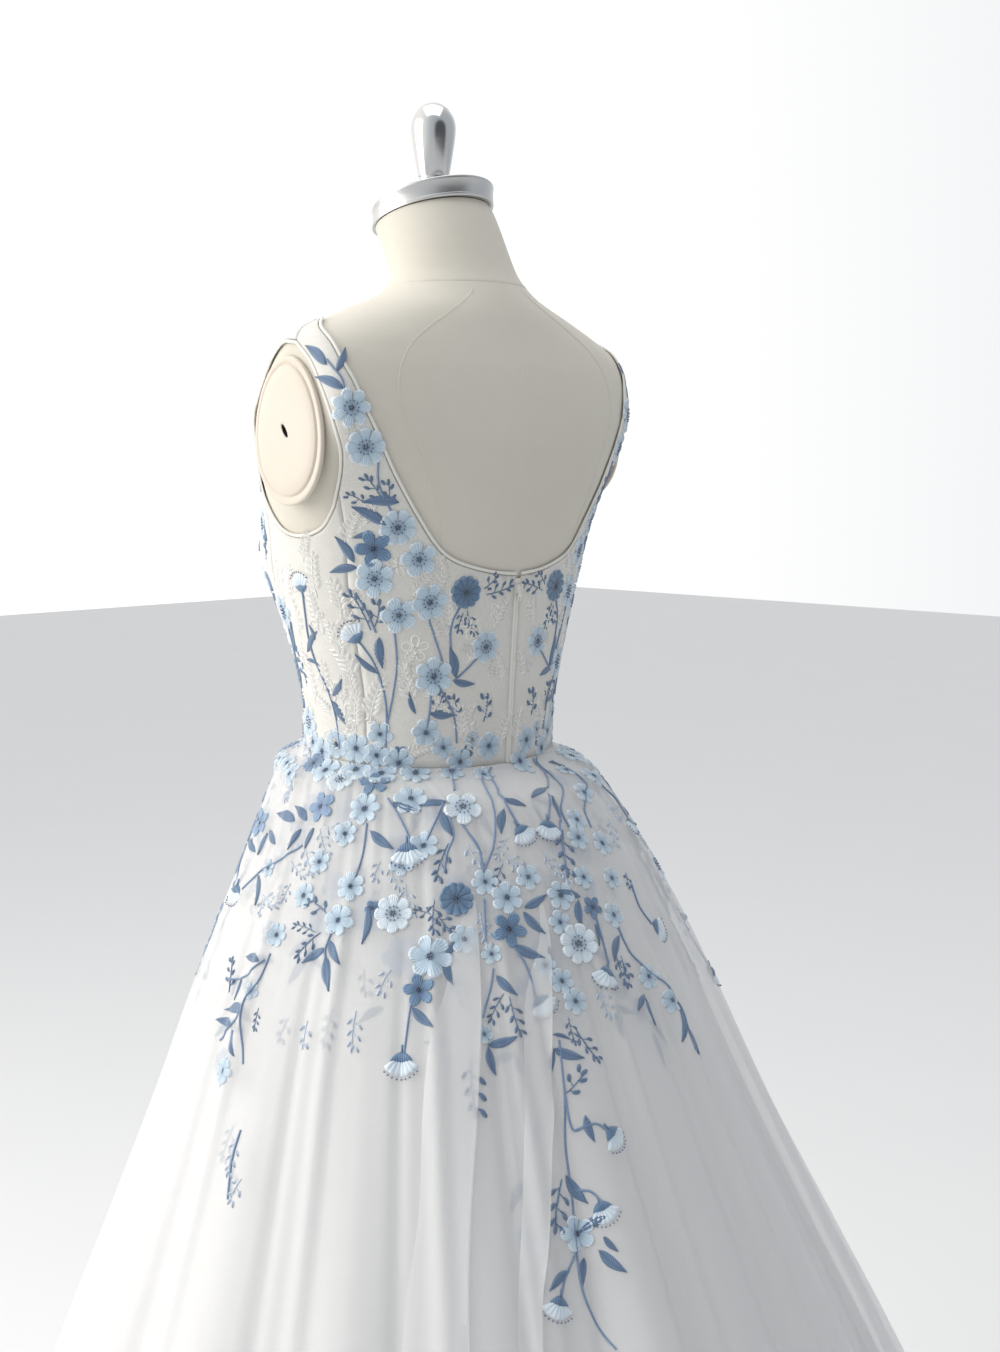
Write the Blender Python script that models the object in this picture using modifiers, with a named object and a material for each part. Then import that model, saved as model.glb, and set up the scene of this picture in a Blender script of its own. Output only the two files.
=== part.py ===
"""Sleeveless A-line wedding dress with sewn-on flower branches, on a limbless dress form.

Metres, +Z up. The front of the dress faces -Y and the wearer's left is +X. The origin is on the floor, in the
middle of the hem. Angles go round the body from 0 at the centre back to 90 degrees at the wearer's left.
Heights in the tables are measured from the waist.
"""

import math

import bpy
from mathutils import Vector

WAIST_Z = 1.050
AXIS_Y = -0.100

# The bare form: half width, where it is widest, and its front and back.
FORM_COLUMNS = ("height", "half_width", "widest_y", "front_y", "back_y")
FORM_ROWS = (
    (-0.250, 0.140, 0.005, -0.090, 0.104),
    (-0.200, 0.158, 0.005, -0.104, 0.120),
    (-0.120, 0.152, 0.004, -0.104, 0.115),
    (-0.055, 0.131, 0.001, -0.093, 0.101),
    (0.000, 0.115, 0.000, -0.090, 0.096),
    (0.050, 0.118, 0.003, -0.088, 0.099),
    (0.095, 0.129, 0.006, -0.092, 0.102),
    (0.150, 0.144, 0.010, -0.099, 0.107),
    (0.187, 0.151, 0.014, -0.102, 0.115),
    (0.212, 0.160, 0.018, -0.101, 0.121),
    (0.230, 0.169, 0.022, -0.098, 0.124),
    (0.260, 0.186, 0.030, -0.086, 0.124),
    (0.290, 0.200, 0.036, -0.068, 0.120),
    (0.320, 0.196, 0.038, -0.042, 0.114),
    (0.340, 0.180, 0.038, -0.024, 0.108),
    (0.354, 0.152, 0.038, -0.014, 0.104),
    (0.368, 0.116, 0.038, -0.008, 0.100),
    (0.382, 0.079, 0.038, -0.005, 0.094),
    (0.396, 0.062, 0.035, -0.010, 0.086),
    (0.412, 0.056, 0.029, -0.018, 0.077),
    (0.450, 0.050, 0.010, -0.038, 0.056),
)
FORM_SPOKES, FORM_STEP, FORM_STEP_HIDDEN = 36, 0.019, 0.050
NECK_Y, NECK_SLOPE, NECK_BLEND = 0.010, 0.27, (0.400, 0.450)
BUST_HEIGHT, BUST_X, BUST_SPREAD_X, BUST_SPREAD_Z = 0.172, 0.078, 0.047, 0.054
CUP_RISE, FORM_BUST_RISE = 0.038, 0.032

# The arm plates stand in flat faces on the form's sides.
ARM_FACE_X, ARM_FACE_ROUNDING = 0.171, 0.012
PLATE_Y, PLATE_HEIGHT, PLATE_HALF_WIDTH, PLATE_HALF_HEIGHT = 0.028, 0.271, 0.041, 0.058
PLATE_BULGE, PLATE_TAPER = 0.0060, 0.12
PLATE_RING_COLUMNS = ("reach", "rise")
PLATE_RINGS = ((1.0, 0.0), (1.0, 0.0017), (0.96, 0.0030), (0.70, 0.0044), (0.38, 0.0053))

# Metal fittings and the stand.
CAP_RADIUS, CAP_HEIGHT, CAP_EDGE = 0.0512, 0.0165, 0.0012
KNOB_COLUMNS = ("radius", "height")
KNOB_ROWS = (
    (0.0000, 0.0740),
    (0.0070, 0.0728),
    (0.0130, 0.0688),
    (0.0172, 0.0620),
    (0.0190, 0.0530),
    (0.0184, 0.0440),
    (0.0160, 0.0290),
    (0.0130, 0.0125),
    (0.0122, 0.0120),
    (0.0118, 0.0000),
    (0.0000, 0.0000),
)
POLE_RADIUS = 0.0150
FOOT_COLUMNS = ("radius", "height")
FOOT_ROWS = (
    (0.0000, 0.0300),
    (0.0300, 0.0300),
    (0.0360, 0.0260),
    (0.2020, 0.0160),
    (0.2100, 0.0110),
    (0.2100, 0.0000),
    (0.0000, 0.0000),
)

# Cloth walls.
GAP = 0.0003
BODY_RADIUS = 0.13
BODICE_CLEARANCE, BODICE_WALL = 0.0015, 0.0010
SEAM_MEAN, SEAM_DIP = 0.004, 0.008
ZIP_HALF_WIDTH = 0.0032
BACK_SEAM_ANGLE, FRONT_SEAM_ANGLE = 66.0, 114.0

# Outlines of the bodice on the form, from the centre to the top of the shoulder.
EDGE_COLUMNS = ("angle", "height")
BACK_NECKLINE = (
    (1.3, 0.154),
    (12.0, 0.157),
    (25.0, 0.166),
    (33.0, 0.179),
    (40.0, 0.204),
    (44.5, 0.228),
    (46.8, 0.252),
    (48.3, 0.278),
    (51.0, 0.300),
    (55.5, 0.318),
    (66.0, 0.339),
    (90.0, 0.356),
)
FRONT_NECKLINE = (
    (180.0, 0.205),
    (162.0, 0.208),
    (149.0, 0.222),
    (140.0, 0.248),
    (136.5, 0.278),
    (136.0, 0.302),
    (131.0, 0.328),
    (112.0, 0.351),
    (90.0, 0.356),
)
BACK_ARMHOLE = (
    (66.0, 0.2235),
    (61.5, 0.244),
    (59.6, 0.262),
    (60.8, 0.282),
    (66.0, 0.301),
    (76.0, 0.325),
    (90.0, 0.340),
)
FRONT_ARMHOLE = (
    (114.0, 0.2130),
    (120.0, 0.230),
    (124.5, 0.254),
    (126.0, 0.280),
    (126.5, 0.302),
    (122.0, 0.324),
    (109.0, 0.340),
    (90.0, 0.340),
)
UNDERARM = (
    (66.0, 0.2235),
    (69.5, 0.209),
    (77.0, 0.193),
    (90.0, 0.187),
    (102.0, 0.193),
    (114.0, 0.2130),
)
BODICE_COLUMNS, SIDE_COLUMNS = 7, 6
WAIST_ROWS, MIDDLE_ROWS, STRAP_ROWS = 6, 5, 12
MIDDLE_START = 0.75
BINDING_WIDTH, BINDING_WALL, BINDING_CLEARANCE, BINDING_GAP = 0.0026, 0.0014, 0.0014, 0.0007

# Zip at the centre back.
ZIP_TOP, ZIP_BOTTOM, ZIP_WALL, ZIP_ROWS = 0.152, -0.004, 0.0018, 22
SLIDER_HEIGHT, SLIDER_WIDTH, SLIDER_DEPTH, SLIDER_TALL = 0.144, 0.0056, 0.0032, 0.0070
CHANNEL_WIDTH, CHANNEL_FLOOR = 0.0034, 0.0012
TAB_NECK_WIDTH, TAB_WIDTH, TAB_LENGTH, TAB_THICKNESS, TAB_TOP = 0.0026, 0.0042, 0.0120, 0.0009, 0.0006

# Skirt layers: radius and how far the round lies behind the axis.
SKIRT_COLUMNS = ("height", "radius", "behind")
OVERSKIRT_ROWS = (
    (-1.038, 0.560, 0.100),
    (-0.780, 0.468, 0.086),
    (-0.520, 0.363, 0.064),
    (-0.410, 0.314, 0.053),
    (-0.300, 0.266, 0.041),
    (-0.200, 0.225, 0.031),
    (-0.100, 0.180, 0.023),
    (-0.050, 0.156, 0.016),
    (-0.020, 0.139, 0.009),
)
LINING_INSET_COLUMNS = ("height", "inset")
LINING_INSET_ROWS = (
    (-1.038, 0.062),
    (-0.520, 0.046),
    (-0.200, 0.028),
    (-0.060, 0.020),
    (-0.020, 0.018),
)
OVERSKIRT_DROPS = (0.000, 0.002, 0.009, 0.020, 0.040, 0.075, 0.135, 0.220, 0.340, 0.500, 0.740, 1.038)
LINING_DROPS = (0.000, 0.002, 0.009, 0.020, 0.060, 0.220, 0.480, 1.038)
WAIST_PUFF = (0.002, 0.020)
HEM_Z = 0.012
OVERSKIRT_SPOKES, LINING_SPOKES = 72, 36
OVERSKIRT_LIFT, LINING_LIFT = 0.0036, 0.0014
OVERSKIRT_WALL, LINING_WALL = 0.0010, 0.0010
GATHERS, GATHER_DEPTH, GATHER_FADE = 18, 0.0010, 0.16
FOLD_GROWTH, FOLD_SHARE = 0.45, 0.35

# The largest folds of the overskirt: where each runs down, how wide, how deep, and where it starts.
FOLD_COLUMNS = ("angle", "half_angle", "depth", "starts")
FOLDS = (
    (-165.0, 13.0, 0.020, -0.22),
    (-138.0, 12.0, 0.024, -0.16),
    (-110.0, 13.0, 0.020, -0.20),
    (-84.0, 12.0, 0.024, -0.14),
    (-58.0, 11.0, 0.020, -0.18),
    (-36.0, 10.0, 0.022, -0.12),
    (-15.0, 9.0, 0.020, -0.10),
    (3.0, 8.0, 0.016, -0.16),
    (19.0, 8.0, 0.030, -0.10),
    (41.0, 12.0, 0.018, -0.14),
    (62.0, 9.0, 0.022, -0.18),
    (84.0, 12.0, 0.018, -0.12),
    (108.0, 11.0, 0.022, -0.20),
    (133.0, 13.0, 0.022, -0.14),
    (160.0, 12.0, 0.018, -0.20),
)

# The largest sewn-on flowers. Each lies on a panel at an angle and a height; a leaf pair has two lobes.
FLOWER_COLUMNS = ("angle", "height", "radius", "lobes", "turn", "tone", "lift")
BODICE_FLOWERS = (
    (53.0, 0.288, 0.0142, 7, 10.0, "ice", 0.0012),
    (52.0, 0.259, 0.0145, 8, 20.0, "ice", 0.0012),
    (46.5, 0.197, 0.0152, 8, 0.0, "ice", 0.0008),
    (55.5, 0.180, 0.0125, 5, 15.0, "dusty", 0.0008),
    (39.0, 0.171, 0.0150, 5, 20.0, "ice", 0.0008),
    (47.5, 0.125, 0.0145, 5, 15.0, "ice", 0.0008),
    (34.5, 0.137, 0.0145, 6, 50.0, "ice", 0.0008),
    (21.5, 0.143, 0.0135, 8, 0.0, "dusty", 0.0008),
    (35.5, 0.075, 0.0160, 6, 30.0, "ice", 0.0008),
    (13.5, 0.097, 0.0135, 7, 5.0, "ice", 0.0008),
)
SKIRT_FLOWERS = (
    (49.0, -0.054, 0.0165, 7, 25.0, "ice", 0.0008),
    (35.5, -0.031, 0.0145, 7, 0.0, "ice", 0.0010),
    (41.0, -0.090, 0.0180, 5, 0.0, "dusty", 0.0008),
    (57.0, -0.101, 0.0165, 5, 40.0, "ice", 0.0008),
    (48.5, -0.130, 0.0170, 6, 5.0, "ice", 0.0008),
    (34.0, -0.129, 0.0150, 6, 10.0, "ice", 0.0008),
    (12.5, -0.129, 0.0180, 7, 0.0, "ice", 0.0008),
    (37.5, -0.183, 0.0150, 7, 0.0, "ice", 0.0008),
)
FLOWER_WALL, STRAP_START = 0.0010, 0.240
PETAL_POINTS, PETAL_DEPTH, PETAL_TURN, PETAL_FULLNESS = 3, 0.24, 0.3, 0.7

LINEN = (0.80, 0.74, 0.64)
IVORY = (0.90, 0.88, 0.83)
NUDE_MESH = (0.82, 0.76, 0.68)
TULLE = (0.93, 0.94, 0.95)
STEEL = (0.72, 0.72, 0.72)
TONES = {"ice": (0.55, 0.66, 0.80), "dusty": (0.20, 0.29, 0.46)}


def clear_scene():
    """Remove what the file starts with, and give back a collection for the parts."""
    for thing in list(bpy.data.objects):
        bpy.data.objects.remove(thing, do_unlink=True)
    collection = bpy.data.collections.new("wedding_dress_on_form")
    bpy.context.scene.collection.children.link(collection)
    return collection


def material(name, colour, roughness, metallic=0.0):
    """A Principled material, made once."""
    found = bpy.data.materials.get(name)
    if found:
        return found
    made = bpy.data.materials.new(name)
    made.use_nodes = True
    shader = made.node_tree.nodes["Principled BSDF"]
    shader.inputs["Base Color"].default_value = (*colour, 1)
    shader.inputs["Roughness"].default_value = roughness
    shader.inputs["Metallic"].default_value = metallic
    made.diffuse_color = (*colour, 1)
    return made


def smooth_row(rows, height):
    """A table's columns at any height, on smooth curves through its rows."""
    height = min(max(height, rows[0][0]), rows[-1][0])
    index = 0
    while index < len(rows) - 2 and height > rows[index + 1][0]:
        index += 1
    low, high = rows[index], rows[index + 1]
    before, after = rows[max(index - 1, 0)], rows[min(index + 2, len(rows) - 1)]
    step = high[0] - low[0]
    up = (height - low[0]) / step
    down = 1 - up
    values = []
    for column in range(1, len(low)):
        rise = high[column] - low[column]
        slope_low = (high[column] - before[column]) / (high[0] - before[0]) * step
        slope_high = (after[column] - low[column]) / (after[0] - low[0]) * step
        if rise * slope_low <= 0:
            slope_low = 0
        if rise * slope_high <= 0:
            slope_high = 0
        values.append(
            low[column] * down * down * (1 + 2 * up)
            + high[column] * up * up * (3 - 2 * up)
            + slope_low * up * down * down
            - slope_high * up * up * down
        )
    return values


def ease(value, start, end):
    """0 before the start, 1 past the end, smooth between."""
    part = min(max((value - start) / (end - start), 0), 1)
    return part * part * (3 - 2 * part)


def form_point(angle, height, bust_rise=CUP_RISE):
    """A point of the form as the bodice is cut to it, the angle in radians.

    The bare form is a little flatter than the cups.
    """
    half_width, widest, front, back = smooth_row(FORM_ROWS, height)
    across, along = math.sin(angle), math.cos(angle)
    x = half_width * across
    over = abs(x) - (ARM_FACE_X - ARM_FACE_ROUNDING)
    if over > 0:
        x = math.copysign(ARM_FACE_X - ARM_FACE_ROUNDING * math.exp(-over / ARM_FACE_ROUNDING), x)
    y = widest + along * ((back - widest) if along > 0 else (widest - front))
    if along < 0:
        for side in (-1, 1):
            away = ((x - side * BUST_X) / BUST_SPREAD_X) ** 2
            away += ((height - BUST_HEIGHT) / BUST_SPREAD_Z) ** 2
            y -= bust_rise * math.exp(-away) * min(1.0, -2 * along)
    z = height + NECK_SLOPE * (y - NECK_Y) * ease(height, *NECK_BLEND)
    return Vector((x, y + AXIS_Y, WAIST_Z + z))


def outward(point_function, angle, height, step=0.002):
    """The unit normal of a surface of angles and heights, pointing away from the body."""
    turn = step / BODY_RADIUS
    round_way = point_function(angle + turn, height) - point_function(angle - turn, height)
    up_way = point_function(angle, height + step) - point_function(angle, height - step)
    return up_way.cross(round_way).normalized()


def on_form(angle_degrees, height, lift):
    """A point lifted off the form along its normal."""
    angle = math.radians(angle_degrees)
    return form_point(angle, height) + outward(form_point, angle, height) * lift


def seam_height(angle_degrees):
    """The waist seam dips a little at the back."""
    return SEAM_MEAN - SEAM_DIP * math.cos(math.radians(angle_degrees))


def smooth_path(rows, count):
    """Evenly spaced (angle, height) stations along a smooth curve through a table's rows."""
    fine = []
    for index in range(len(rows) - 1):
        before, low = rows[max(index - 1, 0)], rows[index]
        high, after = rows[index + 1], rows[min(index + 2, len(rows) - 1)]
        for step in range(16):
            t = step / 16
            fine.append([
                0.5 * (2 * b + (c - a) * t + (2 * a - 5 * b + 4 * c - d) * t * t + (3 * b - a - 3 * c + d) * t ** 3)
                for a, b, c, d in zip(before, low, high, after)
            ])
    fine.append(list(rows[-1]))
    lengths = [0.0]
    for a, b in zip(fine, fine[1:]):
        lengths.append(lengths[-1] + (on_form(*b, 0) - on_form(*a, 0)).length)
    path = []
    index = 0
    for station in range(count + 1):
        wanted = lengths[-1] * station / count
        while index < len(fine) - 2 and lengths[index + 1] < wanted:
            index += 1
        part = (wanted - lengths[index]) / (lengths[index + 1] - lengths[index])
        path.append([a + (b - a) * part for a, b in zip(fine[index], fine[index + 1])])
    return path


def add_mesh(name, points, faces, collection, finish, smooth_angle=40.0):
    """A mesh object from points and faces, smooth but for its real edges."""
    mesh = bpy.data.meshes.new(name)
    mesh.from_pydata([tuple(point) for point in points], [], faces)
    mesh.update()
    mesh.shade_smooth()
    mesh.set_sharp_from_angle(angle=math.radians(smooth_angle))
    thing = bpy.data.objects.new(name, mesh)
    collection.objects.link(thing)
    mesh.materials.append(finish)
    return thing


def thicken(thing, wall):
    """Give an open surface the thickness of its cloth, outward."""
    solid = thing.modifiers.new("cloth", "SOLIDIFY")
    solid.thickness = wall
    solid.offset = 1.0
    solid.use_even_offset = False
    return thing


def grid_faces(rows, columns, ring=False, first=0):
    """Quads of a grid of rows and columns of points, facing out when the columns go round by angle."""
    across = columns if ring else columns - 1
    faces = []
    for row in range(rows - 1):
        for column in range(across):
            a = first + row * columns + column
            b = first + row * columns + (column + 1) % columns
            faces.append((a, a + columns, b + columns, b))
    return faces


def turned(name, rows, steps, collection, finish):
    """A turned piece from a table of radius and height, top first."""
    thing = add_mesh(name, [(radius, 0, height) for radius, height in rows], [], collection, finish)
    thing.data.edges.add(len(rows) - 1)
    for index, edge in enumerate(thing.data.edges):
        edge.vertices = (index, index + 1)
    screw = thing.modifiers.new("turn", "SCREW")
    screw.steps = steps
    screw.render_steps = steps
    screw.use_merge_vertices = True
    screw.merge_threshold = 0.0001
    screw.use_smooth_shade = True
    return thing


def torso(collection, finish):
    """The whole form, closed flat at the bottom and at the sloping neck."""
    spokes = FORM_SPOKES
    heights = [FORM_ROWS[0][0]]
    for low, high in zip(FORM_ROWS, FORM_ROWS[1:]):
        step = FORM_STEP if low[0] >= 0 else FORM_STEP_HIDDEN
        count = math.ceil(math.hypot(high[0] - low[0], high[1] - low[1]) / step)
        heights += [low[0] + (high[0] - low[0]) * (part + 1) / count for part in range(count)]
    points = []
    for height in heights:
        points += [form_point(2 * math.pi * k / spokes, height, FORM_BUST_RISE) for k in range(spokes)]
    faces = grid_faces(len(heights), spokes, ring=True)
    faces.append(tuple(range(spokes)))
    faces.append(tuple(reversed(range((len(heights) - 1) * spokes, len(heights) * spokes))))
    return add_mesh("form_torso", points, faces, collection, finish)


def arm_plate(name, side, collection, finish):
    """An egg-shaped plate with a soft bulge, standing just off the form's flat side."""
    spokes = 28
    points = []
    for reach, rise in PLATE_RINGS:
        for k in range(spokes):
            turn = 2 * math.pi * k / spokes
            up = math.cos(turn) * PLATE_HALF_HEIGHT * reach
            width = PLATE_HALF_WIDTH * (1 - PLATE_TAPER * up / PLATE_HALF_HEIGHT)
            x = ARM_FACE_X + GAP + rise
            y = PLATE_Y + AXIS_Y + math.sin(turn) * width * reach
            points.append((side * x, y, WAIST_Z + PLATE_HEIGHT + up))
    middle = len(points)
    points.append((side * (ARM_FACE_X + GAP + PLATE_BULGE), PLATE_Y + AXIS_Y, WAIST_Z + PLATE_HEIGHT))
    faces = grid_faces(len(PLATE_RINGS), spokes, ring=True)
    last = (len(PLATE_RINGS) - 1) * spokes
    faces += [(last + k, middle, last + (k + 1) % spokes) for k in range(spokes)]
    faces.append(tuple(range(spokes)))
    if side < 0:
        faces = [tuple(reversed(face)) for face in faces]
    return add_mesh(name, points, faces, collection, finish, 50.0)


def neck_cap(collection, finish):
    """The metal band on the sloping neck, with a small rounded edge."""
    points = []
    spokes = 32
    low, high = FORM_ROWS[-1][0], smooth_row(FORM_ROWS, FORM_ROWS[-1][0])
    centre_y = (high[2] + high[3]) / 2 + AXIS_Y
    rings = ((0.0, 0.0), (0.0, CAP_HEIGHT - CAP_EDGE), (CAP_EDGE, CAP_HEIGHT))
    for inset, rise in rings:
        for k in range(spokes):
            turn = 2 * math.pi * k / spokes
            x = (CAP_RADIUS - inset) * math.sin(turn)
            y = (CAP_RADIUS - inset) * math.cos(turn) + centre_y
            slope = NECK_SLOPE * (y - AXIS_Y - NECK_Y)
            points.append((x, y, WAIST_Z + low + 2 * GAP + rise + slope))
    faces = grid_faces(len(rings), spokes, ring=True)
    faces.append(tuple(range(spokes)))
    faces.append(tuple(reversed(range(2 * spokes, 3 * spokes))))
    return add_mesh("neck_cap", points, faces, collection, finish, 30.0)


def seam_station(row):
    """How far up a side seam a row of the bodice starts, closer together beside the neckline."""
    if row <= WAIST_ROWS:
        return MIDDLE_START * row / WAIST_ROWS
    return MIDDLE_START + (1 - MIDDLE_START) * (row - WAIST_ROWS) / MIDDLE_ROWS


def panel(name, side, centre_edge, outer_edge, neckline, armhole, collection, finish):
    """A bodice piece from the waist to the shoulder, and its strap.

    Below, it runs between two seams. Above, it runs between the neckline and the armhole.
    """
    inner_edge = [centre_edge(row / WAIST_ROWS, neckline[0][1]) for row in range(WAIST_ROWS)]
    inner_edge += smooth_path(neckline, MIDDLE_ROWS + STRAP_ROWS)
    seam_rows = WAIST_ROWS + MIDDLE_ROWS
    side_edge = [outer_edge(seam_station(row), armhole[0][1]) for row in range(seam_rows)]
    side_edge += smooth_path(armhole, STRAP_ROWS)
    rows = list(zip(inner_edge, side_edge))
    points = []
    for row, (inner, outer) in enumerate(rows):
        for column in range(BODICE_COLUMNS + 1):
            part = column / BODICE_COLUMNS
            angle = inner[0] + (outer[0] - inner[0]) * part
            height = inner[1] + (outer[1] - inner[1]) * part
            straight_seam = seam_height(inner[0]) * (1 - part) + seam_height(outer[0]) * part
            height += (seam_height(angle) - straight_seam) * max(1 - row / WAIST_ROWS, 0)
            points.append(on_form(side * angle, height, BODICE_CLEARANCE))
    faces = grid_faces(len(rows), BODICE_COLUMNS + 1)
    if side * (rows[0][1][0] - rows[0][0][0]) < 0:
        faces = [tuple(reversed(face)) for face in faces]
    return thicken(add_mesh(name, points, faces, collection, finish), BODICE_WALL)


def bodice_backs(collection, finish):
    """Left and right back, each up into its strap, with the zip between them."""
    seam_gap = math.degrees(GAP / 2 / BODY_RADIUS)

    def beside_zip(part, top):
        low = seam_height(0) + GAP
        height = low + (top - low) * part
        return [math.degrees(math.asin(ZIP_HALF_WIDTH / smooth_row(FORM_ROWS, height)[0])), height]

    def side_seam(part, top):
        low = seam_height(BACK_SEAM_ANGLE) + GAP
        return [BACK_SEAM_ANGLE - seam_gap, low + (top - low) * part]

    neckline = ((beside_zip(1, BACK_NECKLINE[0][1])[0], BACK_NECKLINE[0][1]),) + BACK_NECKLINE[1:]
    neckline = neckline[:-1] + ((BACK_NECKLINE[-1][0] - seam_gap, BACK_NECKLINE[-1][1]),)
    armhole = ((BACK_SEAM_ANGLE - seam_gap, BACK_ARMHOLE[0][1]),) + BACK_ARMHOLE[1:-1]
    armhole += ((BACK_ARMHOLE[-1][0] - seam_gap, BACK_ARMHOLE[-1][1]),)
    for name, side in (("bodice_back_left", 1), ("bodice_back_right", -1)):
        panel(name, side, beside_zip, side_seam, neckline, armhole, collection, finish)


def bodice_front(collection, finish):
    """The front with its cups, in one piece, up into both straps."""
    seam_gap = math.degrees(GAP / 2 / BODY_RADIUS)

    def centre_front(part, top):
        low = seam_height(180) + GAP
        return [180.0, low + (top - low) * part]

    def side_seam(part, top):
        low = seam_height(FRONT_SEAM_ANGLE) + GAP
        return [FRONT_SEAM_ANGLE + seam_gap, low + (top - low) * part]

    neckline = FRONT_NECKLINE[:-1] + ((FRONT_NECKLINE[-1][0] + seam_gap, FRONT_NECKLINE[-1][1]),)
    armhole = ((FRONT_SEAM_ANGLE + seam_gap, FRONT_ARMHOLE[0][1]),) + FRONT_ARMHOLE[1:-1]
    armhole += ((FRONT_ARMHOLE[-1][0] + seam_gap, FRONT_ARMHOLE[-1][1]),)
    half = panel("bodice_front", 1, centre_front, side_seam, neckline, armhole, collection, finish)
    mirror = half.modifiers.new("other half", "MIRROR")
    mirror.use_axis = (True, False, False)
    mirror.use_mirror_merge = True
    mirror.merge_threshold = 0.0001
    half.modifiers.move(1, 0)


def underarm_edge(first, last):
    """The side piece's top edge, at each of its columns."""
    path = smooth_path(UNDERARM, 12 * SIDE_COLUMNS)
    edge = []
    for column in range(SIDE_COLUMNS + 1):
        angle = first + (last - first) * column / SIDE_COLUMNS
        edge.append([angle, min(path, key=lambda station: abs(station[0] - angle))[1]])
    return edge


def bodice_sides(collection, finish):
    """The piece under each arm, between the two side seams."""
    seam_gap = math.degrees(GAP / 2 / BODY_RADIUS)
    edge = underarm_edge(BACK_SEAM_ANGLE + seam_gap, FRONT_SEAM_ANGLE - seam_gap)
    for name, side in (("bodice_side_left", 1), ("bodice_side_right", -1)):
        points = []
        for row in range(WAIST_ROWS + MIDDLE_ROWS + 1):
            part = seam_station(row)
            for angle, top in edge:
                low = seam_height(angle) + GAP
                points.append(on_form(side * angle, low + (top - low) * part, BODICE_CLEARANCE))
        faces = grid_faces(WAIST_ROWS + MIDDLE_ROWS + 1, SIDE_COLUMNS + 1)
        if side < 0:
            faces = [tuple(reversed(face)) for face in faces]
        thicken(add_mesh(name, points, faces, collection, finish), BODICE_WALL)


def binding(name, path, ring, flip, collection, finish):
    """A narrow folded edge that runs just past the cloth's edge along a path on the form."""
    count = len(path)
    points = []
    for index, (angle, height) in enumerate(path):
        before = path[index - 1] if (ring or index) else path[index]
        after = path[(index + 1) % count] if (ring or index < count - 1) else path[index]
        along = on_form(*after, 0) - on_form(*before, 0)
        normal = outward(form_point, math.radians(angle), height)
        beside = normal.cross(along).normalized() * (-1 if flip else 1)
        edge = on_form(angle, height, BINDING_CLEARANCE)
        points.append(edge + beside * (BINDING_GAP + BINDING_WIDTH))
        points.append(edge + beside * BINDING_GAP)
    faces = []
    for index in range(count if ring else count - 1):
        a, b = 2 * index, 2 * ((index + 1) % count)
        faces.append((a, b, b + 1, a + 1) if flip else (a, a + 1, b + 1, b))
    return thicken(add_mesh(name, points, faces, collection, finish), BINDING_WALL)


def bindings(collection, finish):
    """The bound neckline, open at the zip, and the two bound armholes."""
    back = smooth_path(BACK_NECKLINE, MIDDLE_ROWS + STRAP_ROWS)
    front = smooth_path(FRONT_NECKLINE, MIDDLE_ROWS + STRAP_ROWS)
    left = back[:-1] + list(reversed(front))
    right = [[360 - angle, height] for angle, height in reversed(left)]
    neck = left + right[1:]
    binding("neckline_binding", neck, False, True, collection, finish)
    armhole = smooth_path(BACK_ARMHOLE, STRAP_ROWS)[:-1]
    armhole += list(reversed(smooth_path(FRONT_ARMHOLE, STRAP_ROWS)))[:-1]
    armhole += list(reversed(underarm_edge(BACK_SEAM_ANGLE, FRONT_SEAM_ANGLE)))[:-1]
    binding("armhole_binding_left", armhole, True, False, collection, finish)
    mirrored = [[-angle, height] for angle, height in armhole]
    binding("armhole_binding_right", mirrored, True, True, collection, finish)


def zip_strip(collection, finish):
    """The closed coil between the two backs, as one strip."""
    points = []
    low = ZIP_BOTTOM + 2 * GAP
    for row in range(ZIP_ROWS + 1):
        height = low + (ZIP_TOP - low) * row / ZIP_ROWS
        lifted = on_form(0, height, BODICE_CLEARANCE)
        points.append(lifted - Vector((ZIP_HALF_WIDTH - GAP, 0, 0)))
        points.append(lifted + Vector((ZIP_HALF_WIDTH - GAP, 0, 0)))
    faces = grid_faces(ZIP_ROWS + 1, 2)
    return thicken(add_mesh("zip_coil", points, faces, collection, finish), ZIP_WALL)


def zip_frame():
    """Where the slider sits: its place on the coil, and the tilt of the back there."""
    lift = BODICE_CLEARANCE + ZIP_WALL + GAP
    place = on_form(0, SLIDER_HEIGHT, lift)
    normal = outward(form_point, 0, SLIDER_HEIGHT)
    return place, math.atan2(normal.z, normal.y)


def extruded(name, outline, axis, low, high, collection, finish):
    """A closed outline given a thickness along one axis. The outline runs anticlockwise."""
    count = len(outline)
    points = []
    for level in (low, high):
        for a, b in outline:
            points.append((a, b, level) if axis == "z" else (a, level, b))
    faces = [tuple(range(count)), tuple(reversed(range(count, 2 * count)))]
    for index in range(count):
        after = (index + 1) % count
        faces.append((index, index + count, after + count, after))
    if axis == "z":
        faces = [tuple(reversed(face)) for face in faces]
    return add_mesh(name, points, faces, collection, finish, 30.0)


def slider(collection, finish):
    """The zip's slider, a channel with an upright cheek on each side."""
    half, inner = SLIDER_WIDTH / 2, CHANNEL_WIDTH / 2
    outline = (
        (-half, 0), (half, 0), (half, SLIDER_DEPTH), (inner, SLIDER_DEPTH),
        (inner, CHANNEL_FLOOR), (-inner, CHANNEL_FLOOR), (-inner, SLIDER_DEPTH), (-half, SLIDER_DEPTH),
    )
    thing = extruded("zip_slider", outline, "z", -SLIDER_TALL / 2, SLIDER_TALL / 2, collection, finish)
    place, tilt = zip_frame()
    thing.location = place
    thing.rotation_euler = (tilt, 0, 0)


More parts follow.
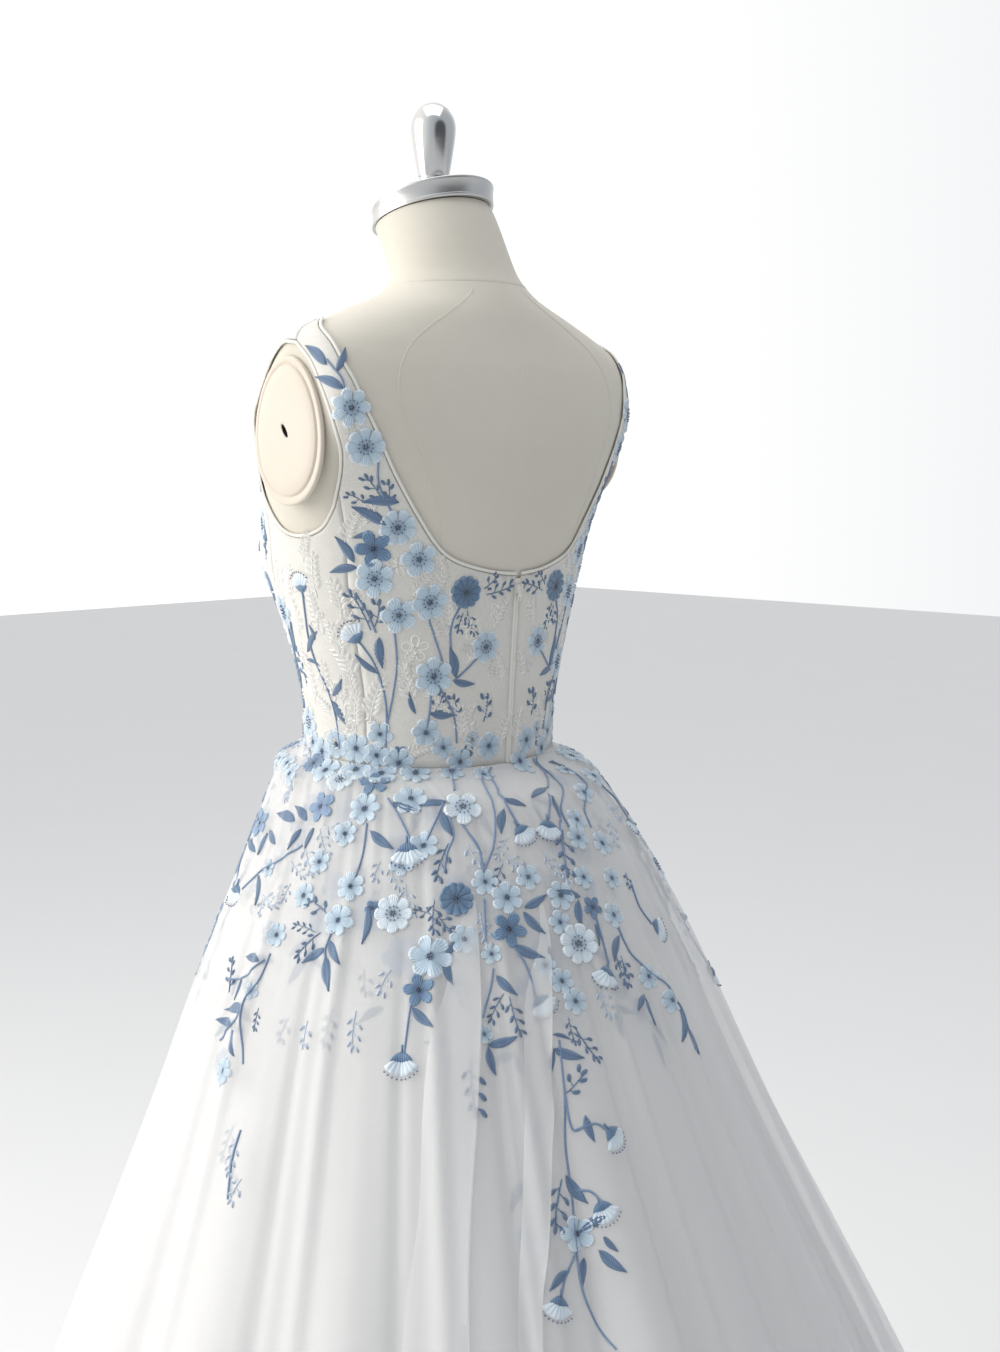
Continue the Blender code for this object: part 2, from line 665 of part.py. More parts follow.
def pull_tab(collection, finish):
    """The pull tab, hanging from a hinge between the slider's cheeks. Its origin is on the hinge."""
    neck, half, tip = TAB_NECK_WIDTH / 2, TAB_WIDTH / 2, -TAB_LENGTH
    shoulder = -SLIDER_TALL * 0.75
    arc = [(half * math.sin(t), tip + half - half * math.cos(t)) for t in
           [math.pi / 2 * (1 - step / 4) for step in range(5)]]
    outline = [(-neck, TAB_TOP), (-neck, shoulder), (-half, shoulder - 0.0012)]
    outline += [(-x, z) for x, z in arc] + [(x, z) for x, z in reversed(arc[:-1])]
    outline += [(half, shoulder - 0.0012), (neck, shoulder), (neck, TAB_TOP)]
    thing = extruded("zip_pull_tab", outline, "y", -TAB_THICKNESS / 2, TAB_THICKNESS / 2, collection, finish)
    place, tilt = zip_frame()
    hinge_out = CHANNEL_FLOOR + GAP + TAB_TOP
    hinge_up = SLIDER_TALL / 4
    thing.location = place + Vector((
        0,
        hinge_out * math.cos(tilt) - hinge_up * math.sin(tilt),
        hinge_out * math.sin(tilt) + hinge_up * math.cos(tilt),
    ))
    thing.rotation_euler = (tilt, 0, 0)


def fold_rise(angle_degrees, height):
    """How far the folds push the tulle out, between ridges a little inward."""
    rise = 0
    for middle, half_angle, depth, starts in FOLDS:
        away = (angle_degrees - middle + 180) % 360 - 180
        grown = ease(starts - height, 0, FOLD_GROWTH)
        bump = math.cos(math.pi / 2 * away / half_angle) ** 2 if abs(away) < half_angle else 0
        rise += depth * grown * (bump - FOLD_SHARE * half_angle / 90)
    return rise


def skirt_point(angle, height, inset, lift, folded):
    """A point of a skirt layer: on the form at the waist seam, and on the flared rounds below."""
    radius, behind = smooth_row(OVERSKIRT_ROWS, height)
    radius -= inset
    degrees = math.degrees(angle)
    if folded:
        radius += fold_rise(degrees, height)
        radius += GATHER_DEPTH * math.cos(GATHERS * angle) * (1 - ease(-height, 0, GATHER_FADE))
    flared = Vector((radius * math.sin(angle), behind + radius * math.cos(angle) + AXIS_Y, WAIST_Z + height))
    fitted = on_form(degrees, height, lift)
    fitted.z = WAIST_Z + height
    return fitted.lerp(flared, ease(seam_height(degrees) - height, *WAIST_PUFF))


def overskirt_point(angle, height):
    """A point of the tulle's inside."""
    return skirt_point(angle, height, 0, OVERSKIRT_LIFT, True)


def skirt_layer(name, spokes, drops, inset_rows, lift, wall, collection, finish):
    """One skirt layer as an open tube with the cloth's thickness."""
    hem = HEM_Z - WAIST_Z
    points = []
    for drop in drops:
        for k in range(spokes):
            angle = 2 * math.pi * k / spokes
            top = seam_height(math.degrees(angle))
            height = top + (hem - top) * drop / drops[-1]
            if inset_rows:
                inset = smooth_row(inset_rows, height)[0]
                points.append(skirt_point(angle, height, inset, lift, False))
            else:
                points.append(skirt_point(angle, height, 0, lift, True))
    faces = [tuple(reversed(face)) for face in grid_faces(len(drops), spokes, ring=True)]
    return thicken(add_mesh(name, points, faces, collection, finish), wall)


def flower(name, point_at, side, row, lift, collection):
    """An embroidered flower as one thin piece with rounded lobes, following the cloth below it."""
    angle, height, radius, lobes, turn, tone, _ = row
    centre_angle = math.radians(side * angle)
    reach = (point_at(centre_angle + 0.01, height) - point_at(centre_angle - 0.01, height)).length / 0.02
    fall = (point_at(centre_angle, height + 0.005) - point_at(centre_angle, height - 0.005)).length / 0.01
    count = lobes * PETAL_POINTS
    rings = (0.5, 1.0) if height > STRAP_START else (1.0,)
    layers = []
    for level in (lift, lift + FLOWER_WALL):
        layer = []
        for ring in (0.0,) + rings:
            for k in range(count if ring else 1):
                way = 2 * math.pi * k / count
                fullness = abs(math.sin(lobes * way / 2 + PETAL_TURN)) ** PETAL_FULLNESS
                lobe = 1 - PETAL_DEPTH * (1 - fullness)
                distance = radius * ring * (lobe if ring == 1.0 else 1.0)
                across = side * distance * math.sin(way + math.radians(turn)) / reach
                up = distance * math.cos(way + math.radians(turn)) / fall
                at = (centre_angle + across, height + up)
                layer.append(point_at(*at) + outward(point_at, *at) * level)
        layers.append(layer)
    size = len(layers[0])
    points = layers[0] + layers[1]
    top = []
    for k in range(count):
        after = (k + 1) % count
        top.append((0, 1 + after, 1 + k))
        if len(rings) == 2:
            top.append((1 + k, 1 + after, 1 + count + after, 1 + count + k))
    faces = [tuple(size + index for index in face) for face in top]
    faces += [tuple(reversed(face)) for face in top]
    for k in range(count):
        a, b = size - count + k, size - count + (k + 1) % count
        faces.append((a, a + size, b + size, b))
    if side > 0:
        faces = [tuple(reversed(face)) for face in faces]
    finish = material("embroidery_" + tone, TONES[tone], 0.75)
    return add_mesh(name, points, faces, collection, finish, 50.0)


def flowers(collection):
    """The largest flowers, in mirrored pairs on the bodice and in a spray down the skirt."""
    base = BODICE_CLEARANCE + BODICE_WALL
    for index, row in enumerate(BODICE_FLOWERS, 1):
        for word, side in (("left", 1), ("right", -1)):
            name = "flower_bodice_%s_%02d" % (word, index)
            flower(name, form_point, side, row, base + row[6], collection)
    for index, row in enumerate(SKIRT_FLOWERS, 1):
        name = "flower_skirt_%02d" % index
        flower(name, overskirt_point, 1, row, OVERSKIRT_WALL + row[6], collection)


def build():
    """Make every piece."""
    collection = clear_scene()
    linen = material("linen", LINEN, 0.85)
    steel = material("steel", STEEL, 0.25, 1.0)
    painted = material("painted_steel", IVORY, 0.45)
    mesh = material("nude_mesh", NUDE_MESH, 0.8)
    ivory = material("ivory_satin", IVORY, 0.5)
    tulle = material("tulle", TULLE, 0.9)

    torso(collection, linen)
    arm_plate("arm_plate_left", 1, collection, linen)
    arm_plate("arm_plate_right", -1, collection, linen)
    neck_cap(collection, steel)
    knob = turned("knob", KNOB_ROWS, 20, collection, steel)
    neck_top = WAIST_Z + FORM_ROWS[-1][0] + 3 * GAP + CAP_HEIGHT
    knob_foot = KNOB_ROWS[-2][0] * NECK_SLOPE
    knob.location = (0, AXIS_Y + NECK_Y, neck_top + knob_foot)
    foot = turned("foot", FOOT_ROWS, 28, collection, painted)
    foot.location = (0, AXIS_Y, 0)
    pole_low, pole_high = FOOT_ROWS[0][1] + GAP, WAIST_Z + FORM_ROWS[0][0] - GAP
    pole = turned("pole", ((0, pole_high - pole_low), (POLE_RADIUS, pole_high - pole_low), (POLE_RADIUS, 0), (0, 0)),
                  20, collection, steel)
    pole.location = (0, AXIS_Y, pole_low)

    bodice_backs(collection, mesh)
    bodice_sides(collection, mesh)
    bodice_front(collection, mesh)
    bindings(collection, ivory)
    zip_strip(collection, ivory)
    slider(collection, ivory)
    pull_tab(collection, ivory)
    skirt_layer("skirt_lining", LINING_SPOKES, LINING_DROPS, LINING_INSET_ROWS, LINING_LIFT, LINING_WALL,
                collection, ivory)
    skirt_layer("tulle_overskirt", OVERSKIRT_SPOKES, OVERSKIRT_DROPS, None, OVERSKIRT_LIFT, OVERSKIRT_WALL,
                collection, tulle)
    flowers(collection)


build()
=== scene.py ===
"""Looks of the sleeveless wedding dress with sewn-on flower branches, on its limbless dress form.

Metres, +Z up. The front of the dress faces -Y and the wearer's left is +X. Angles go round the body from 0 at
the centre back to 90 degrees at the wearer's left. Heights in the tables are measured from the waist.
"""

import math

import bpy
from mathutils import Matrix, Vector


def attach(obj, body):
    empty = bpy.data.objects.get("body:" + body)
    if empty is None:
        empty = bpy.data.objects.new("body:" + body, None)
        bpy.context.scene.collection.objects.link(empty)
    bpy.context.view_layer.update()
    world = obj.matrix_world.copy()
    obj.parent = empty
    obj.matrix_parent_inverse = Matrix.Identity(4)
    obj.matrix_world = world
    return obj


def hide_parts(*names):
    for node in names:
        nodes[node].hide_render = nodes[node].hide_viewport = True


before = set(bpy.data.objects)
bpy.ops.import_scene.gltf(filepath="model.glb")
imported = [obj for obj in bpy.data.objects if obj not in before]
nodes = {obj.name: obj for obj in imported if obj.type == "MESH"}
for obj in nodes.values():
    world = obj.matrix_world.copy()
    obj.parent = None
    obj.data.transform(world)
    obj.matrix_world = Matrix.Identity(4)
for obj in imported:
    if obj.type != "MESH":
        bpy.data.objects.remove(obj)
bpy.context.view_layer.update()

BODY, TAB = "dress_on_form", "pull_tab"
WAIST_Z = 1.050
AXIS_Y = -0.100
# Rounds that turn an angle into a length of cloth: at the waist, on the bodice and on the skirt.
WAIST_ROUND, BODICE_ROUND, SKIRT_ROUND = 0.13, 0.14, 0.24

# The form: height, half width, where it is widest, front and back.
FORM_ROWS = (
    (-0.25, 0.14, 0.005, -0.09, 0.104), (-0.2, 0.158, 0.005, -0.104, 0.12),
    (-0.12, 0.152, 0.004, -0.104, 0.115), (-0.055, 0.131, 0.001, -0.093, 0.101),
    (0, 0.115, 0, -0.09, 0.096), (0.05, 0.118, 0.003, -0.088, 0.099),
    (0.095, 0.129, 0.006, -0.092, 0.102), (0.15, 0.144, 0.01, -0.099, 0.107),
    (0.187, 0.151, 0.014, -0.102, 0.115), (0.212, 0.16, 0.018, -0.101, 0.121),
    (0.23, 0.169, 0.022, -0.098, 0.124), (0.26, 0.186, 0.03, -0.086, 0.124),
    (0.29, 0.2, 0.036, -0.068, 0.12), (0.32, 0.196, 0.038, -0.042, 0.114),
    (0.34, 0.18, 0.038, -0.024, 0.108), (0.354, 0.152, 0.038, -0.014, 0.104),
    (0.368, 0.116, 0.038, -0.008, 0.1), (0.382, 0.079, 0.038, -0.005, 0.094),
    (0.396, 0.062, 0.035, -0.01, 0.086), (0.412, 0.056, 0.029, -0.018, 0.077),
    (0.45, 0.05, 0.01, -0.038, 0.056),
)
NECK_Y, NECK_SLOPE, NECK_BLEND = 0.010, 0.27, (0.400, 0.450)
BUST_HEIGHT, BUST_X, BUST_SPREAD_X, BUST_SPREAD_Z = 0.172, 0.078, 0.047, 0.054
CUP_RISE, FORM_BUST_RISE = 0.038, 0.032
ARM_FACE_X, ARM_FACE_ROUNDING = 0.171, 0.012
PLATE_Y, PLATE_HEIGHT, PLATE_HALF_WIDTH, PLATE_HALF_HEIGHT = 0.028, 0.271, 0.041, 0.058
PLATE_TAPER = 0.12
CAP_RADIUS, CAP_HEIGHT = 0.0512, 0.0165
KNOB_ROWS = (
    (0, 0.074), (0.004, 0.0737), (0.008, 0.0723), (0.013, 0.0686), (0.0172, 0.062), (0.0187, 0.057),
    (0.019, 0.053), (0.0188, 0.048), (0.0181, 0.042), (0.016, 0.029), (0.0138, 0.0165), (0.0131, 0.0135),
    (0.0124, 0.013), (0.0124, 0.0118), (0.0129, 0.0112), (0.0129, 0.0016), (0.0122, 0.0002), (0, 0.0002),
)

GAP = 0.0003
BODICE_CLEARANCE, BODICE_WALL = 0.0015, 0.0010
SEAM_MEAN, SEAM_DIP = 0.004, 0.008
ZIP_HALF_WIDTH = 0.0032
BACK_SEAM_ANGLE, FRONT_SEAM_ANGLE = 66.0, 114.0
BACK_NECKLINE = (
    (1.3, 0.154), (12, 0.157), (25, 0.166), (33, 0.179), (40, 0.204), (44.5, 0.228),
    (46.8, 0.252), (48.3, 0.278), (51, 0.3), (55.5, 0.318), (66, 0.339), (90, 0.356),
)
FRONT_NECKLINE = (
    (180, 0.205), (162, 0.208), (149, 0.222), (140, 0.248), (136.5, 0.278), (136, 0.302),
    (131, 0.328), (112, 0.351), (90, 0.356),
)
BACK_ARMHOLE = (
    (66, 0.2235), (61.5, 0.244), (59.6, 0.262), (60.8, 0.282), (66, 0.301), (76, 0.325), (90, 0.34),
)
FRONT_ARMHOLE = (
    (114, 0.213), (120, 0.23), (124.5, 0.254), (126, 0.28), (126.5, 0.302), (122, 0.324),
    (109, 0.34), (90, 0.34),
)
UNDERARM = (
    (66, 0.2235), (69.5, 0.209), (77, 0.193), (90, 0.187), (102, 0.193), (114, 0.213),
)
BODICE_COLUMNS, SIDE_COLUMNS = 24, 22
WAIST_ROWS, MIDDLE_ROWS, STRAP_ROWS = 24, 16, 36
MIDDLE_START = 0.75
BINDING_WIDTH, BINDING_WALL, BINDING_CLEARANCE, BINDING_GAP = 0.0026, 0.0014, 0.0014, 0.0007
ZIP_TOP, ZIP_BOTTOM, ZIP_WALL = 0.152, -0.004, 0.0018
SLIDER_HEIGHT, SLIDER_WIDTH, SLIDER_DEPTH, SLIDER_TALL = 0.144, 0.0056, 0.0032, 0.0070
CHANNEL_WIDTH, CHANNEL_FLOOR = 0.0034, 0.0012
TAB_NECK_WIDTH, TAB_WIDTH, TAB_LENGTH, TAB_THICKNESS, TAB_TOP = 0.0026, 0.0042, 0.0120, 0.0009, 0.0006

OVERSKIRT_ROWS = (
    (-1.038, 0.56, 0.1), (-0.78, 0.468, 0.086), (-0.52, 0.363, 0.064), (-0.41, 0.314, 0.053),
    (-0.3, 0.266, 0.041), (-0.2, 0.225, 0.031), (-0.1, 0.18, 0.023), (-0.05, 0.156, 0.016),
    (-0.02, 0.139, 0.009),
)
LINING_INSET_ROWS = (
    (-1.038, 0.062), (-0.52, 0.046), (-0.2, 0.028), (-0.06, 0.02), (-0.02, 0.018),
)
WAIST_PUFF = (0.002, 0.020)
HEM_Z = 0.012
OVERSKIRT_LIFT, LINING_LIFT = 0.0036, 0.0014
GATHERS, GATHER_DEPTH, GATHER_FADE = 18, 0.0010, 0.16
FOLD_GROWTH, FOLD_SHARE = 0.45, 0.35

# The largest folds, as the solid has them: angle, half angle, depth and where each starts.
FOLDS = (
    (-165, 13, 0.02, -0.22), (-138, 12, 0.024, -0.16), (-110, 13, 0.02, -0.2), (-84, 12, 0.024, -0.14),
    (-58, 11, 0.02, -0.18), (-36, 10, 0.022, -0.12), (-15, 9, 0.02, -0.1), (3, 8, 0.016, -0.16),
    (19, 8, 0.03, -0.1), (41, 12, 0.018, -0.14), (62, 9, 0.022, -0.18), (84, 12, 0.018, -0.12),
    (108, 11, 0.022, -0.2), (133, 13, 0.022, -0.14), (160, 12, 0.018, -0.2),
)

# Softer creases of the outer tulle: angle at the waist, how far it drifts down the skirt, half angle,
# depth, and where it starts and ends.
CREASES = (
    (-172, 4, 4, 0.005, -0.01, -0.8), (-158, -3, 3.2, -0.004, -0.02, -0.55),
    (-149, 2, 3.6, 0.0055, 0, -1.04), (-130, -4, 3, 0.0035, -0.03, -0.48),
    (-121, 3, 3.8, 0.005, -0.01, -0.9), (-103, -2, 3, -0.004, -0.02, -0.62),
    (-95, 2, 3.4, 0.005, 0, -1.04), (-76, -3, 3.2, 0.004, -0.02, -0.7),
    (-69, 1, 2.4, -0.0035, -0.05, -0.5), (-50, -2, 3, 0.005, -0.01, -1.04),
    (-44, -1, 2.2, -0.0035, -0.04, -0.6), (-29, -2, 2.6, 0.0045, -0.01, -0.85),
    (-22, -1, 2, -0.0035, -0.06, -0.7), (-9, -1.5, 2.2, 0.0045, -0.03, -1.04),
    (-3, -0.5, 1.8, -0.004, -0.05, -0.9), (8, 0.5, 2, 0.005, -0.04, -1.04),
    (13, 0.5, 1.6, -0.006, -0.08, -1.04), (25, 1, 1.8, -0.005, -0.1, -1.04),
    (31, 1.5, 2.2, 0.004, -0.03, -0.75), (36, 1, 1.7, -0.0035, -0.06, -0.9),
    (47, 1.5, 2.4, 0.0045, -0.01, -1.04), (54, 2, 2, -0.0035, -0.08, -0.6),
    (69, 2, 2.6, 0.0045, -0.02, -0.95), (76, 1, 2.2, -0.004, -0.05, -0.72),
    (92, 2, 2.8, 0.005, 0, -1.04), (99, 2, 2.4, -0.004, -0.03, -0.66),
    (117, 3, 3.2, 0.005, -0.01, -0.88), (125, -2, 2.8, -0.004, -0.04, -0.52),
    (143, 3, 3.4, 0.005, 0, -1.04), (151, -3, 3, 0.0035, -0.02, -0.58),
    (168, 4, 3.8, -0.0045, -0.03, -0.74),
)


# Two loose folds of the outer tulle: height, and the angles of the soft edge and of the free edge.
LOOSE_FOLDS = (
    (
        (-1.038, 58, 45.5), (-0.52, 55.5, 45.2), (-0.37, 53.5, 44.4), (-0.3, 51, 42.9),
        (-0.229, 49.8, 40.3), (-0.18, 47.8, 38.5), (-0.154, 45, 37.6), (-0.117, 41.5, 36.6),
        (-0.085, 38, 36.2),
    ),
    (
        (-1.038, 44, 41), (-0.52, 40.5, 37.5), (-0.37, 37.4, 34), (-0.325, 35.6, 31.7),
        (-0.28, 33.6, 29.2), (-0.243, 32.1, 27.1), (-0.207, 30.6, 24.9), (-0.157, 27.5, 21.9),
        (-0.12, 21.7, 19.2), (-0.095, 19.7, 18.7),
    ),
)


def smooth_row(rows, height):
    """A table's columns at any height, on smooth curves through its rows."""
    height = min(max(height, rows[0][0]), rows[-1][0])
    index = 0
    while index < len(rows) - 2 and height > rows[index + 1][0]:
        index += 1
    low, high = rows[index], rows[index + 1]
    before, after = rows[max(index - 1, 0)], rows[min(index + 2, len(rows) - 1)]
    step = high[0] - low[0]
    up = (height - low[0]) / step
    down = 1 - up
    values = []
    for column in range(1, len(low)):
        rise = high[column] - low[column]
        slope_low = (high[column] - before[column]) / (high[0] - before[0]) * step
        slope_high = (after[column] - low[column]) / (after[0] - low[0]) * step
        if rise * slope_low <= 0:
            slope_low = 0
        if rise * slope_high <= 0:
            slope_high = 0
        values.append(
            low[column] * down * down * (1 + 2 * up)
            + high[column] * up * up * (3 - 2 * up)
            + slope_low * up * down * down
            - slope_high * up * up * down
        )
    return values


def ease(value, start, end):
    """0 before the start, 1 past the end, smooth between."""
    part = min(max((value - start) / (end - start), 0), 1)
    return part * part * (3 - 2 * part)


def form_point(angle, height, bust_rise=CUP_RISE):
    """A point of the form as the bodice is cut to it, the angle in radians."""
    half_width, widest, front, back = smooth_row(FORM_ROWS, height)
    across, along = math.sin(angle), math.cos(angle)
    x = half_width * across
    over = abs(x) - (ARM_FACE_X - ARM_FACE_ROUNDING)
    if over > 0:
        x = math.copysign(ARM_FACE_X - ARM_FACE_ROUNDING * math.exp(-over / ARM_FACE_ROUNDING), x)
    y = widest + along * ((back - widest) if along > 0 else (widest - front))
    if along < 0:
        for side in (-1, 1):
            away = ((x - side * BUST_X) / BUST_SPREAD_X) ** 2
            away += ((height - BUST_HEIGHT) / BUST_SPREAD_Z) ** 2
            y -= bust_rise * math.exp(-away) * min(1.0, -2 * along)
    z = height + NECK_SLOPE * (y - NECK_Y) * ease(height, *NECK_BLEND)
    return Vector((x, y + AXIS_Y, WAIST_Z + z))


def outward(point_function, angle, height, step=0.002):
    """The unit normal of a surface of angles and heights, pointing away from the body."""
    turn = step / WAIST_ROUND
    round_way = point_function(angle + turn, height) - point_function(angle - turn, height)
    up_way = point_function(angle, height + step) - point_function(angle, height - step)
    return up_way.cross(round_way).normalized()


def on_form(angle_degrees, height, lift):
    """A point lifted off the form along its normal."""
    angle = math.radians(angle_degrees)
    if lift == 0:
        return form_point(angle, height)
    return form_point(angle, height) + outward(form_point, angle, height) * lift


def seam_height(angle_degrees):
    """The waist seam dips a little at the back."""
    return SEAM_MEAN - SEAM_DIP * math.cos(math.radians(angle_degrees))


def smooth_stations(rows, per_span=8):
    """A smooth curve through stations."""
    path = []
    for index in range(len(rows) - 1):
        before, low = rows[max(index - 1, 0)], rows[index]
        high, after = rows[index + 1], rows[min(index + 2, len(rows) - 1)]
        for step in range(per_span):
            t = step / per_span
            path.append([
                0.5 * (2 * b + (c - a) * t + (2 * a - 5 * b + 4 * c - d) * t * t
                       + (3 * b - a - 3 * c + d) * t ** 3)
                for a, b, c, d in zip(before, low, high, after)
            ])
    path.append(list(rows[-1]))
    return path


def smooth_path(rows, count):
    """Evenly spaced (angle, height) stations along a smooth curve through a table's rows."""
    fine = smooth_stations(rows, 16)
    lengths = [0.0]
    for a, b in zip(fine, fine[1:]):
        lengths.append(lengths[-1] + (on_form(*b, 0) - on_form(*a, 0)).length)
    path = []
    index = 0
    for station in range(count + 1):
        wanted = lengths[-1] * station / count
        while index < len(fine) - 2 and lengths[index + 1] < wanted:
            index += 1
        part = (wanted - lengths[index]) / (lengths[index + 1] - lengths[index])
        path.append([a + (b - a) * part for a, b in zip(fine[index], fine[index + 1])])
    return path


def fold_rise(angle_degrees, height):
    """How far the largest folds push the tulle out, between ridges a little inward."""
    rise = 0
    for middle, half_angle, depth, starts in FOLDS:
        away = (angle_degrees - middle + 180) % 360 - 180
        grown = ease(starts - height, 0, FOLD_GROWTH)
        bump = math.cos(math.pi / 2 * away / half_angle) ** 2 if abs(away) < half_angle else 0
        rise += depth * grown * (bump - FOLD_SHARE * half_angle / 90)
    return rise


def crease_rise(angle_degrees, height):
    """How far the soft creases push the outer tulle out or in."""
    rise = 0
    for middle, drift, half_angle, depth, starts, ends in CREASES:
        away = (angle_degrees - middle - drift * -height + 180) % 360 - 180
        if abs(away) < half_angle:
            fade = ease(starts - height, 0, 0.16) * ease(height - ends, 0, 0.22)
            if ends <= -1.0:
                fade = ease(starts - height, 0, 0.16)
            rise += depth * fade * math.cos(math.pi / 2 * away / half_angle) ** 2
    return rise


def gather_rise(angle, height, depth):
    """Fine uneven gathers below the waist seam."""
    fade = 1 - ease(-height, 0.01, 0.15)
    if fade <= 0:
        return 0
    waves = ((0.5, 61, 1.3), (0.32, 97, 0.4), (0.25, 38, 2.2))
    return depth * fade * sum(share * math.cos(count * angle + start) for share, count, start in waves)


def skirt_point(angle, height, inset, lift, folded, extra=0.0):
    """A point of a skirt layer: on the form at the waist seam, and on the flared rounds below."""
    radius, behind = smooth_row(OVERSKIRT_ROWS, height)
    radius -= inset
    degrees = math.degrees(angle)
    if folded:
        radius += fold_rise(degrees, height)
        radius += GATHER_DEPTH * math.cos(GATHERS * angle) * (1 - ease(-height, 0, GATHER_FADE))
    radius += extra
    flared = Vector((radius * math.sin(angle), behind + radius * math.cos(angle) + AXIS_Y, WAIST_Z + height))
    puffed = ease(seam_height(degrees) - height, *WAIST_PUFF)
    if puffed >= 1:
        return flared
    fitted = on_form(degrees, height, lift)
    fitted.z = WAIST_Z + height
    return fitted.lerp(flared, puffed)


def tulle_point(angle, height):
    """A point of the outer tulle."""
    degrees = math.degrees(angle)
    extra = crease_rise(degrees, height) + gather_rise(angle, height, 0.0011)
    return skirt_point(angle, height, 0, OVERSKIRT_LIFT, True, extra)


# Meshes, materials and the shared Geometry Nodes trees.


def new_object(name, mesh):
    """An object linked to the scene."""
    thing = bpy.data.objects.new(name, mesh)
    bpy.context.scene.collection.objects.link(thing)
    return thing


def add_mesh(name, points, faces, finish=None, smooth_angle=50.0, uvs=None, edges=()):
    """A mesh object from points and faces, with a UV map of the cloth's own width and length in metres."""
    mesh = bpy.data.meshes.new(name)
    mesh.from_pydata([tuple(point) for point in points], list(edges), faces)
    mesh.update()
    mesh.shade_smooth()
    mesh.set_sharp_from_angle(angle=math.radians(smooth_angle))
    if uvs:
        layer = mesh.uv_layers.new(name="cloth")
        for loop in mesh.loops:
            layer.data[loop.index].uv = uvs[loop.vertex_index]
    if finish:
        mesh.materials.append(finish)
    return new_object(name, mesh)


def grid_faces(rows, columns, ring=False, first=0):
    """Quads of a grid of rows and columns of points."""
    across = columns if ring else columns - 1
    faces = []
    for row in range(rows - 1):
        for column in range(across):
            a = first + row * columns + column
            b = first + row * columns + (column + 1) % columns
            faces.append((a, a + columns, b + columns, b))
    return faces


def ring_faces(rows, size):
    """Quads round a stack of rings, with a flat face at each end."""
    faces = grid_faces(rows, size, ring=True)
    faces.append(tuple(range(size)))
    faces.append(tuple(reversed(range((rows - 1) * size, rows * size))))
    return faces


def flipped(faces):
    """The same faces turned over."""
    return [tuple(reversed(face)) for face in faces]


def settle(thing):
    """Turn an object's modifiers into its own plain mesh."""
    bpy.context.view_layer.update()
    graph = bpy.context.evaluated_depsgraph_get()
    mesh = bpy.data.meshes.new_from_object(thing.evaluated_get(graph), depsgraph=graph)
    mesh.name = thing.name
    thing.modifiers.clear()
    thing.data = mesh
    return thing


def dress_in(thing, finish):
    """Give a mesh one finish and no other."""
    thing.data.materials.clear()
    thing.data.materials.append(finish)
    return thing


def thicken(thing, wall):
    """Give an open surface the thickness of its cloth, outward."""
    solid = thing.modifiers.new("cloth", "SOLIDIFY")
    solid.thickness = wall
    solid.offset = 1.0
    solid.use_even_offset = False
    return settle(thing)


def piece(thing, replaced=(), body=BODY):
    """Put a finished piece on its body, and hide the parts it stands for."""
    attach(thing, body)
    if replaced:
        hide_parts(*replaced)
    return thing


def node(tree, kind, place=(0, 0), **settings):
    """One node with its settings."""
    made = tree.nodes.new(kind)
    made.location = place
    for key, value in settings.items():
        setattr(made, key, value)
    return made


def link(tree, source, target):
    tree.links.new(source, target)


def value_of(tree, operation, a, b=None, c=None):
    """A Math node on sockets or numbers."""
    made = node(tree, "ShaderNodeMath", operation=operation)
    for index, entry in enumerate((a, b, c)):
        if entry is None:
            continue
        if isinstance(entry, (int, float)):
            made.inputs[index].default_value = entry
        else:
            link(tree, entry, made.inputs[index])
    return made.outputs[0]


def blend_colours(tree, factor, low, high):
    """A mix of two colours, which may be sockets."""
    made = node(tree, "ShaderNodeMix", data_type="RGBA")
    if isinstance(factor, (int, float)):
        made.inputs["Factor"].default_value = factor
    else:
        link(tree, factor, made.inputs["Factor"])
    for name, colour in (("A", low), ("B", high)):
        target = [s for s in made.inputs if s.name == name and s.type == "RGBA"][0]
        if hasattr(colour, "links"):
            link(tree, colour, target)
        else:
            target.default_value = (*colour, 1)
    return [s for s in made.outputs if s.type == "RGBA"][0]


def smooth_step(tree, value, low, high):
    """A Map Range from low to high onto 0 to 1."""
    made = node(tree, "ShaderNodeMapRange", interpolation_type="SMOOTHSTEP")
    link(tree, value, made.inputs["Value"])
    made.inputs["From Min"].default_value = low
    made.inputs["From Max"].default_value = high
    return made.outputs["Result"]


def noise(tree, scale, detail=3.0, coordinates=None, roughness=0.5):
    """A noise value in object coordinates unless others are given."""
    made = node(tree, "ShaderNodeTexNoise")
    made.inputs["Scale"].default_value = scale
    made.inputs["Detail"].default_value = detail
    made.inputs["Roughness"].default_value = roughness
    if coordinates is None:
        coordinates = node(tree, "ShaderNodeTexCoord").outputs["Object"]
    link(tree, coordinates, made.inputs["Vector"])
    return made.outputs["Fac"]


def threads(tree, coordinate, spacing):
    """A row of threads along one coordinate, 0 between them and 1 on top."""
    wave = value_of(tree, "SINE", value_of(tree, "MULTIPLY", coordinate, 2 * math.pi / spacing))
    return value_of(tree, "MULTIPLY_ADD", wave, 0.5, 0.5)


def own_map(tree, name="cloth"):
    """The two coordinates of a piece's own UV map."""
    source = node(tree, "ShaderNodeUVMap", uv_map=name)
    split = node(tree, "ShaderNodeSeparateXYZ")
    link(tree, source.outputs["UV"], split.inputs["Vector"])
    return split.outputs["X"], split.outputs["Y"]


